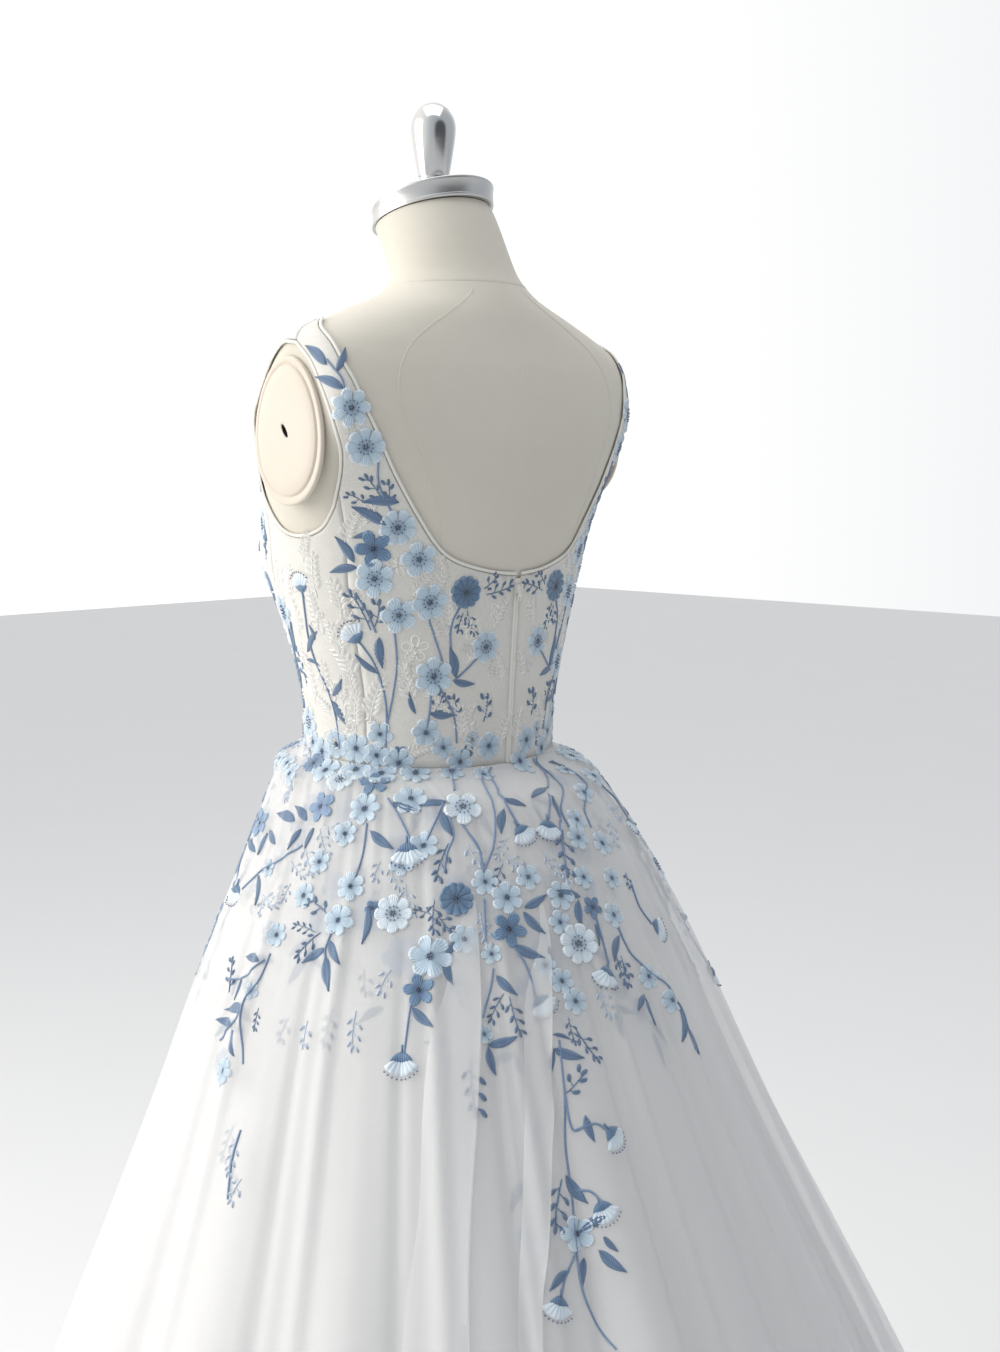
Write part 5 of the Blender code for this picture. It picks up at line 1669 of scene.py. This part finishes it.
LACE_PLACES = {
    "fern": (
        (27, 112, -20, 1), (43.5, 52, -30, 1.1), (10, 112, 18, 0.8), (21.5, 84, 30, 0.8),
        (64, 36, 6, 1.2), (76, 92, 12, 1.2), (82, 140, -10, 1.1), (67, 182, 14, 0.9), (97, 46, -12, 1.2),
        (17, 6, -24, 0.9), (49, 8, 60, 0.8), (92, 14, 50, 0.9), (4.5, 12, 6, 0.9), (41, 142, 30, 0.7),
        (49, 58, 14, 0.8), (60, 196, 20, 0.7), (71, 28, -8, 1), (88, 168, 10, 0.8),
    ),
    "outline": (
        (42, 98, 0, 1), (8, 126, 20, 0.75), (46.5, 166, 10, 0.8), (76, 40, 15, 1), (63.5, 140, 0, 0.7),
        (84, 120, 30, 0.9), (21, 30, 0, 0.8), (33, 50, 0, 0.8), (20, 114, 40, 0.9), (95, 150, 0, 0.8),
    ),
    "fern_left": (
        (25, 22, 14, 1), (5.5, 66, -6, 0.9), (31, 152, 10, 0.8), (69, 72, -16, 1.2), (71, 126, 5, 1.1),
        (100, 106, 16, 1.2), (12, 70, 34, 0.6), (72, 6, -50, 0.9), (33, 104, -14, 0.8),
        (57, 262, 20, 0.6), (90, 60, 30, 1), (79, 18, 20, 0.9),
    ),
}

# The bodice's front carries similar motifs, placed round the cups.
FRONT_ICE = {
    "six": (
        (106, 30, 10, 0.9), (172, 44, 30, 0.8), (128, 98, 0, 0.95), (152, 172, 20, 0.95),
        (131.5, 278, 0, 0.85),
    ),
    "seven": ((122, 18, 0, 1), (112, 124, 10, 1), (125, 196, 0, 0.9)),
    "five": ((139, 30, 20, 0.85), (150, 82, 15, 0.95), (167, 176, 0, 0.85)),
    "eight": ((158, 14, 0, 0.95), (138, 148, 0, 0.9), (131, 246, 10, 0.85)),
}
FRONT_DUSTY = {
    "star": ((146, 12, 0, 0.9), (160, 110, 20, 0.8)),
    "round": ((119, 72, 0, 0.8),),
}
FRONT_LEAVES = {
    "leaf": (
        (114, 40, -40, 1.1), (131, 36, 30, 1.1), (150, 46, -30, 1), (120, 140, -50, 1.1),
        (129, 126, 60, 1.1), (141, 104, -70, 1), (156, 64, 70, 1), (131, 298, 10, 1), (127, 222, 30, 1),
        (146, 186, 40, 1.1), (139, 170, -60, 1.1), (118, 182, -40, 1),
    ),
    "slim": ((166, 30, 20, 1), (110, 92, 20, 1.1), (160, 166, 60, 1)),
}
FRONT_TWIGS = {
    "twig": ((104, 62, -10, 1.1), (135, 62, 30, 1), (121, 166, 10, 0.9)),
    "sprig": ((147, 120, -20, 1), (165, 66, 10, 1)),
}
FRONT_STEMS = (
    ((122, 12), (118, 50), (114, 90), (112, 118)), ((146, 10), (138, 50), (130, 90), (134, 140)),
    ((172, 10), (168, 50), (158, 90), (148, 120)),
)
FRONT_LACE = {
    "fern": (
        (108, 6, 10, 1.1), (133, 4, -14, 1.1), (158, 74, 0, 1), (102, 134, 10, 1), (126, 150, 20, 0.9),
        (150, 134, -20, 0.8), (131, 184, 20, 0.8),
    ),
    "fern_left": (
        (116, 90, -10, 1.1), (143, 68, 14, 1), (172, 72, 10, 0.8), (176, 6, 6, 0.9), (116, 196, 0, 0.8),
    ),
    "outline": ((126, 60, 0, 1), (152, 42, 10, 1), (108, 158, 0, 0.9)),
}

# The skirt's hang from the waist, as seen from behind on the left.
SKIRT_ICE = {
    "seven": ((67, -29, 0, 0.9),),
    "six": (
        (48.5, -53, 25, 0.78), (69, -84, 20, 0.78), (71, -109, 0, 0.84), (48, -129, 5, 1.1),
        (89, -128, 0, 0.66), (-33, -22, 0, 0.8), (0, -56, 20, 0.7), (-9.5, -65, 0, 0.72),
        (33, -79, 0, 0.7), (28, -91, 30, 0.85), (19, -152, 20, 0.68), (17, -167, 40, 0.68),
        (-5.5, -164, 0, 0.65), (-9, -184, 0, 0.65),
    ),
    "eight": ((94, -232, 10, 0.78),),
    "five": (
        (113.5, -7, 20, 0.62), (100.5, -84, 15, 0.5), (91.5, -170, 0, 0.45), (-22.5, -15, 10, 0.6),
        (4, -84, 0, 0.64), (-6.5, -90, 30, 0.6), (-1.5, -115, 15, 0.7), (34, -129, 10, 0.52),
        (37.5, -183, 0, 0.48), (26, -320, 20, 0.85),
    ),
}
WAIST_ICE = {
    "six": (
        (70.5, -4, 0, 0.9), (51.5, -20, 10, 0.9), (28.5, -6, 30, 0.7), (105, -12, 0, 0.7),
        (-6, -4, 20, 0.75), (73, -48, 30, 0.7), (40, -118, 10, 0.75), (13, -94, 20, 0.8),
        (22, -140, 0, 0.6), (83, -96, 0, 0.7),
    ),
    "five": (
        (59, -6, 20, 0.95), (86, -6, 10, 0.85), (16, -10, 0, 0.6), (-15, -28, 0, 0.7),
        (55, -66, 0, 0.65), (21, -78, 0, 0.7), (15.5, -112, 30, 0.65), (-3, -44, 10, 0.7),
        (80, -70, 20, 0.65),
    ),
    "seven": ((44, -6, 0, 0.85),),
}
SKIRT_WHITE = {
    "eight": ((77, -10, 0, 0.8), (57, -101, 20, 0.98), (12, -129, 0, 1.06)),
    "five": ((35, -26, 0, 1.02),),
}
SKIRT_MIDDLE = {
    "round": ((95, -3, 10, 0.72),),
    "star": ((83.5, -31, 0, 0.86), (116.5, -57, 0, 0.78)),
}
SKIRT_DUSTY = {
    "star": ((62.5, -11, 30, 0.88), (50.5, -153, 20, 0.85), (29, -113, 0, 0.92), (4.5, -106, 10, 0.64)),
    "five": ((62.5, -98, 0, 0.42),),
    "round": ((41, -90, 0, 1),),
}
SKIRT_LEAVES = {
    "leaf": (
        (57.5, -23, 105, 1.1), (40, -22, -90, 1), (42, -29, 155, 1.06), (64.5, -44, 115, 1.15),
        (94.5, -45, -90, 1.3), (89, -43, -65, 1.05), (90.5, -50, -160, 0.9), (85, -47, -175, 0.85),
        (120, -72, 105, 1), (108.5, -61, -175, 0.92), (107, -58, 110, 1), (73.5, -130, -130, 1.05),
        (73, -124, 135, 1.1), (73, -136, 155, 1.27), (91.5, -148, -85, 1.1), (97, -167, -180, 0.8),
        (93.5, -185, -110, 1.26), (96, -201, -95, 1.13), (95, -203, 130, 1.1), (52, -165, 125, 1.05),
        (44.5, -130, 30, 0.7), (44.5, -132, 170, 0.95), (20.5, -22, 120, 0.9), (22, -29, -160, 1),
        (0.5, -20, -115, 1.1), (24, -99, 65, 1.05), (24.5, -102, 140, 1.1), (28.5, -124, 120, 1.2),
        (7.5, -97, -65, 1), (8.5, -99, -170, 1), (-0.5, -130, -140, 1.07), (33.5, -144, 130, 1),
        (37, -191, 80, 1.05), (37, -192, 170, 1), (24, -197, 105, 1.15), (24, -198, -175, 0.7),
        (-2.5, -176, -120, 0.85), (-2.5, -179, -180, 1), (20, -127, -180, 0.45), (21, -242, 165, 0.95),
        (26, -282, 150, 1.15), (21.5, -307, -120, 1.1), (22.5, -320, 130, 0.7), (23.5, -329, 120, 1.15),
        (25.5, -336, -175, 0.95), (28.5, -341, -120, 1),
    ),
    "slim": (
        (104.5, -92, 150, 1.1), (63.5, -97, 180, 1.25), (2.5, -27, -170, 0.9), (5.5, -118, -165, 0.75),
        (23.5, -187, 105, 0.6), (-10.5, -193, -150, 1.1), (-10.5, -203, -180, 1.15),
        (-23, -10, 150, 0.6),
    ),
}
SKIRT_BUDS = {
    "bud": (
        (54, -195, 175, 1.05), (53.5, -50, -190, 1.1), (116, -106, 180, 0.95), (19.5, -41, 155, 0.95),
        (8, -40, -165, 1), (-39, -59, -150, 0.9), (-15.5, -131, 130, 0.95), (6, -148, -140, 1),
        (25.5, -160, 150, 0.95), (17.5, -252, 150, 1), (22, -297, 155, 0.95), (30.5, -354, -155, 0.95),
    ),
}
SKIRT_TWIGS = {
    "twig": (
        (88.5, -181, 170, 0.6), (77.5, -120, -80, 0.75), (76, -120, -145, 0.95), (46.5, -90, 180, 0.9),
        (41.5, -51, -165, 1.05), (101, -180, -20, 0.95), (27, -67, -155, 0.8), (4.5, -49, -165, 1.3),
        (32.5, -156, -155, 0.8), (31.5, -158, 165, 1), (19.5, -177, 175, 0.7), (18.5, -186, 150, 1),
        (27, -283, -160, 1.25), (40.5, -199, 175, 1.4), (2.5, -144, 175, 0.85),
    ),
    "sprig": (
        (75, -106, -70, 1.1), (46, -99, 145, 0.9), (47.5, -100, -80, 0.7), (-14, -90, -160, 0.7),
        (23.5, -227, 35, 1.1), (1, -144, 175, 0.9),
    ),
}
PALE_TWIGS = {
    "sprig": (
        (101, 0, -60, 1), (89, -90, -170, 0.7), (99.5, -108, 160, 0.7), (61, -65, -170, 0.8),
        (25.5, -61, 130, 0.8), (8, -70, -170, 1), (36, -52, 150, 1), (-26, -40, 170, 1),
        (57, -140, -160, 1), (83, -296, -165, 1), (75, -182, 170, 1),
    ),
    "twig": (
        (101.5, -5, 175, 1), (81, -43, 100, 0.95), (82, -46, 140, 0.85), (87.5, -59, 135, 1.1),
        (91, -74, 120, 0.8), (100, -104, 100, 1), (58.5, -66, 150, 0.8), (23.5, -49, -145, 0.7),
        (24.5, -64, 145, 0.9), (-14, -90, -160, 0.5), (1, -144, -170, 0.7), (35.5, -100, 170, 0.9),
        (14, -62, 160, 0.8), (54, -80, 165, 0.9), (-20, -50, -150, 0.9), (10, -160, 165, 0.9),
        (42, -140, 170, 0.9), (86, -270, 175, 1), (64, -170, 175, 1),
    ),
}
SKIRT_STEMS = (
    ((66, -39), (66.5, -60), (68, -77)), ((59, -20), (55.5, -33), (53, -46), (52.5, -51)),
    ((41, -23), (44, -34), (46.5, -44), (47.5, -49)), ((40.5, -29), (39.5, -44), (42, -57), (43.5, -71)),
    ((27, -4), (30, -10), (34.5, -16)), ((36.5, -38), (34.5, -48), (33, -58), (33, -71)),
    ((88, -61), (93, -70), (97, -77), (104, -88), (112.5, -108)),
    ((72.5, -117), (73.5, -130), (73, -137)),
    ((89.5, -142), (90.5, -162), (92.5, -181), (91, -203), (89, -222)),
    ((90.5, -147), (94, -159), (98.5, -168), (102.5, -171)),
    ((92.5, -183), (95, -195), (98.5, -210), (100, -216)),
    ((52, -159), (52.5, -169), (53, -183), (53.5, -196)), ((50, -138), (50.5, -146)),
    ((13, -6), (23.5, -18), (25.5, -34), (28.5, -54), (33, -72)),
    ((10, -6), (18.5, -17), (20.5, -22), (19, -41)), ((-16, -5), (-12, -13), (0, -20)),
    ((-19, -5), (-11, -16), (0, -31), (1.5, -48)), ((-26, -10), (-22.5, -19), (-11, -37), (-8, -52)),
    ((2.5, -23), (7.5, -40)), ((1.5, -25), (2.5, -38), (5, -47), (9, -79)),
    ((-34, -30), (-38, -45), (-39, -58)), ((35, -45), (33, -55), (33, -69)),
    ((-14, -99), (-13, -116), (-15, -131)),
    ((-1.5, -124), (-2, -137), (-5, -156), (-8.5, -169), (-10.5, -181), (-12, -196), (-10, -223)),
    ((4.5, -115), (5, -131), (5.5, -147)), ((34, -139), (35.5, -156), (37.5, -172)),
    ((29, -123), (26.5, -138), (25.5, -158)), ((34, -91), (34.5, -105), (35, -120)),
    ((22.5, -191), (23.5, -224), (23.5, -251), (20.5, -245)),
    ((23.5, -224), (25, -264), (25.5, -296), (26.5, -322), (27, -353), (25.5, -379), (24, -391)),
    ((23, -251), (19.5, -248), (17.5, -255)), ((25.5, -293), (23, -291), (21.5, -299)),
    ((26.5, -328), (29, -343), (30.5, -355)), ((85.5, -265), (86, -286), (85, -312)),
)


# How the seen sprays are set round the hidden sides: mirrored to the front, and some turned to the right.
MIRROR_ANGLE, RIGHT_TURN, RIGHT_DROP = 237, 105, 6
RIGHT_FROM, RIGHT_TO, RIGHT_LOWEST = 30, 62, -250


def goes_right(angle, height):
    """Whether a place belongs to the sprays that are set on the right too."""
    return RIGHT_FROM < angle < RIGHT_TO and height > RIGHT_LOWEST


def round_the_skirt(table):
    """Motifs as seen from behind on the left, with similar sprays set round the hidden sides."""
    made = {}
    for motif, rows in table.items():
        made[motif] = list(rows)
        made[motif] += [(MIRROR_ANGLE - angle, height, -turn, size) for angle, height, turn, size in rows]
        made[motif] += [(angle - RIGHT_TURN, height - RIGHT_DROP, turn, size)
                        for angle, height, turn, size in rows if goes_right(angle, height)]
    return made


def runs_round_the_skirt(runs):
    """Stems that go with the sprays of round_the_skirt."""
    front = [[(MIRROR_ANGLE - angle, height) for angle, height in run] for run in runs]
    right = [[(angle - RIGHT_TURN, height - RIGHT_DROP) for angle, height in run]
             for run in runs if all(goes_right(*station) for station in run)]
    return list(runs) + front + right


def together(*tables):
    """Several tables of motifs as one."""
    made = {}
    for table in tables:
        for motif, rows in table.items():
            made.setdefault(motif, []).extend(rows)
    return made


def mirrored_places(table):
    """Motifs and their mirror images."""
    return {motif: list(rows) + [(-angle, height, -turn, size) for angle, height, turn, size in rows]
            for motif, rows in table.items()}


def as_motif(motif, *tables):
    """The same places with another motif."""
    return {motif: [row for rows in together(*tables).values() for row in rows]}


def between(table):
    """Smaller lace motifs in the gaps between the low ones."""
    return {motif: [(angle + 6.5, height + 22, -turn - 12, 0.8 * size)
                    for angle, height, turn, size in rows if height < 120 and angle < 168]
            for motif, rows in table.items()}


def join_pieces(name, things):
    """Pieces of the same thread or cloth as one."""
    chosen = things[0]
    if len(things) > 1:
        with bpy.context.temp_override(active_object=chosen, object=chosen, selected_objects=things,
                                       selected_editable_objects=things):
            bpy.ops.object.join()
    chosen.name = name
    chosen.data.name = name
    return chosen


def embroider(name, table, point_at, cloth, finish, lift):
    """All motifs of one thread on one cloth, as one piece."""
    made = []
    for motif, rows in table.items():
        places = [place_on(point_at, *row) for row in rows]
        made.append(sewn("%s_%s" % (name, motif), motif, places, cloth, finish, lift))
    return join_pieces(name, made)


def stem_tree():
    """Turns paths into round threads."""
    tree = bpy.data.node_groups.new("stem_threads", "GeometryNodeTree")
    tree.interface.new_socket("Paths", in_out="INPUT", socket_type="NodeSocketGeometry")
    tree.interface.new_socket("Thickness", in_out="INPUT", socket_type="NodeSocketFloat")
    tree.interface.new_socket("Thread", in_out="INPUT", socket_type="NodeSocketMaterial")
    tree.interface.new_socket("Stems", in_out="OUTPUT", socket_type="NodeSocketGeometry")
    start, end = node(tree, "NodeGroupInput"), node(tree, "NodeGroupOutput")
    line = node(tree, "GeometryNodeMeshToCurve")
    link(tree, start.outputs["Paths"], line.inputs["Mesh"])
    around = node(tree, "GeometryNodeCurvePrimitiveCircle")
    around.inputs["Resolution"].default_value = 8
    link(tree, start.outputs["Thickness"], around.inputs["Radius"])
    tube = node(tree, "GeometryNodeCurveToMesh")
    link(tree, line.outputs["Curve"], tube.inputs["Curve"])
    link(tree, around.outputs["Curve"], tube.inputs["Profile Curve"])
    tube.inputs["Fill Caps"].default_value = True
    painted = node(tree, "GeometryNodeSetMaterial")
    link(tree, tube.outputs["Mesh"], painted.inputs["Geometry"])
    link(tree, start.outputs["Thread"], painted.inputs["Material"])
    link(tree, painted.outputs["Geometry"], end.inputs["Stems"])
    return tree


STEMS = stem_tree()


def stems(name, runs, point_at, lift, thickness):
    """Half-sunk round threads along runs on a cloth."""
    points, edges = [], []
    for run in runs:
        first = len(points)
        for angle, millimetres in smooth_stations(run):
            here, height = math.radians(angle), millimetres / 1000
            points.append(point_at(here, height) + outward(point_at, here, height, 0.004) * lift)
        edges += [(index, index + 1) for index in range(first, len(points) - 1)]
    thing = add_mesh(name, points, [], STEM, edges=edges)
    run_tree(thing, STEMS, {"Thickness": thickness, "Thread": STEM})
    thing.data.shade_smooth()
    return dress_in(thing, STEM)


FLAT, RAISED, ON_TOP = 0.0002, 0.0004, 0.0007
ON_BODICE = (
    ("bodice_ice_flowers", (BODICE_ICE, BODICE_SMALL_ICE, FRONT_ICE), ICE, FLAT),
    ("bodice_dusty_flowers", (BODICE_DUSTY, FRONT_DUSTY), DUSTY, FLAT),
    ("bodice_leaves", (BODICE_LEAVES, FRONT_LEAVES), LEAF, 0.0003),
    ("bodice_twigs", (BODICE_TWIGS, FRONT_TWIGS), LEAF, FLAT),
    ("bodice_bud_caps", (BODICE_BUDS,), DUSTY, RAISED),
    ("bodice_bud_fans", (as_motif("fan", BODICE_BUDS),), WHITE, FLAT),
    ("bodice_beads", (
        as_motif("ring", BODICE_ICE, FRONT_ICE), as_motif("rays", BODICE_BUDS),
        as_motif("heart", BODICE_SMALL_ICE, {"star": BODICE_DUSTY["star"]}),
    ), BEADS, ON_TOP),
    ("bodice_ivory_lace", (LACE_PLACES, FRONT_LACE, between(together(LACE_PLACES, FRONT_LACE))), LACE, FLAT),
)
ON_SKIRT = (
    ("skirt_ice_flowers", (SKIRT_ICE, WAIST_ICE), ICE, FLAT),
    ("skirt_white_flowers", (SKIRT_WHITE,), WHITE, FLAT),
    ("skirt_middle_flowers", (SKIRT_MIDDLE,), MIDDLE_BLUE, FLAT),
    ("skirt_dusty_flowers", (SKIRT_DUSTY,), DUSTY, FLAT),
    ("skirt_leaves", (SKIRT_LEAVES,), LEAF, 0.0003),
    ("skirt_twigs", (SKIRT_TWIGS,), LEAF, FLAT),
    ("skirt_pale_twigs", (PALE_TWIGS,), PALE_BLUE, 0.0001),
    ("skirt_bud_caps", (SKIRT_BUDS,), DUSTY, RAISED),
    ("skirt_bud_fans", (as_motif("fan", SKIRT_BUDS),), WHITE, FLAT),
    ("skirt_beads", (
        as_motif("heart", SKIRT_ICE, WAIST_ICE, SKIRT_DUSTY), as_motif("ring", SKIRT_WHITE),
        as_motif("rays", SKIRT_BUDS),
    ), BEADS, ON_TOP),
)
# Seen faintly through the outer tulle.
UNDER_TULLE = (
    ("under_flowers", (SKIRT_ICE, SKIRT_WHITE, SKIRT_MIDDLE), MIDDLE_BLUE),
    ("under_leaves", (SKIRT_LEAVES, PALE_TWIGS), LEAF),
)
UNDER_TURN, UNDER_DROP = 7, 4


def bodice_flowers(numbers):
    """The solids of both sides that flowers stand for."""
    return ["flower_bodice_%s_%02d" % (word, index) for word in ("left", "right") for index in numbers]


REPLACED = {
    "bodice_ice_flowers": bodice_flowers((1, 2, 3, 5, 6, 7, 9, 10)),
    "bodice_dusty_flowers": bodice_flowers((4, 8)),
    "skirt_ice_flowers": ["flower_skirt_%02d" % index for index in (2, 5, 6, 7, 8)],
    "skirt_white_flowers": ["flower_skirt_01", "flower_skirt_04"],
    "skirt_dusty_flowers": ["flower_skirt_03"],
}
guide = guide_surface()
for name, tables, thread, lift in ON_BODICE:
    sprays = embroider(name, mirrored_places(together(*tables)), form_point, guide, thread, lift)
    piece(sprays, REPLACED.get(name, ()))
for name, tables, thread, lift in ON_SKIRT:
    sprays = embroider(name, round_the_skirt(together(*tables)), tulle_point, tulle, thread, lift)
    piece(sprays, REPLACED.get(name, ()))
for name, tables, thread in UNDER_TULLE:
    shifted = {motif: [(angle + UNDER_TURN, height - UNDER_DROP, -turn, size)
                       for angle, height, turn, size in rows]
               for motif, rows in round_the_skirt(together(*tables)).items()}
    piece(embroider(name, shifted, inner_tulle_point, under_tulle, thread, 0.0001))
bodice_runs = BODICE_STEMS + FRONT_STEMS
bodice_runs += tuple(tuple((-angle, height) for angle, height in run) for run in bodice_runs)
skirt_runs = runs_round_the_skirt(SKIRT_STEMS)
bodice_lift = BODICE_CLEARANCE + BODICE_WALL + 0.0003
piece(stems("bodice_stems", bodice_runs, form_point, bodice_lift, 0.0009))
piece(stems("skirt_stems", skirt_runs, tulle_point, 0.0008, 0.0009))
bpy.data.objects.remove(guide)
tulle = join_pieces("outer_tulle_cloth", [tulle] + [loose_fold("loose_fold", rows) for rows in LOOSE_FOLDS])
for motif in MOTIFS.values():
    bpy.data.objects.remove(motif)
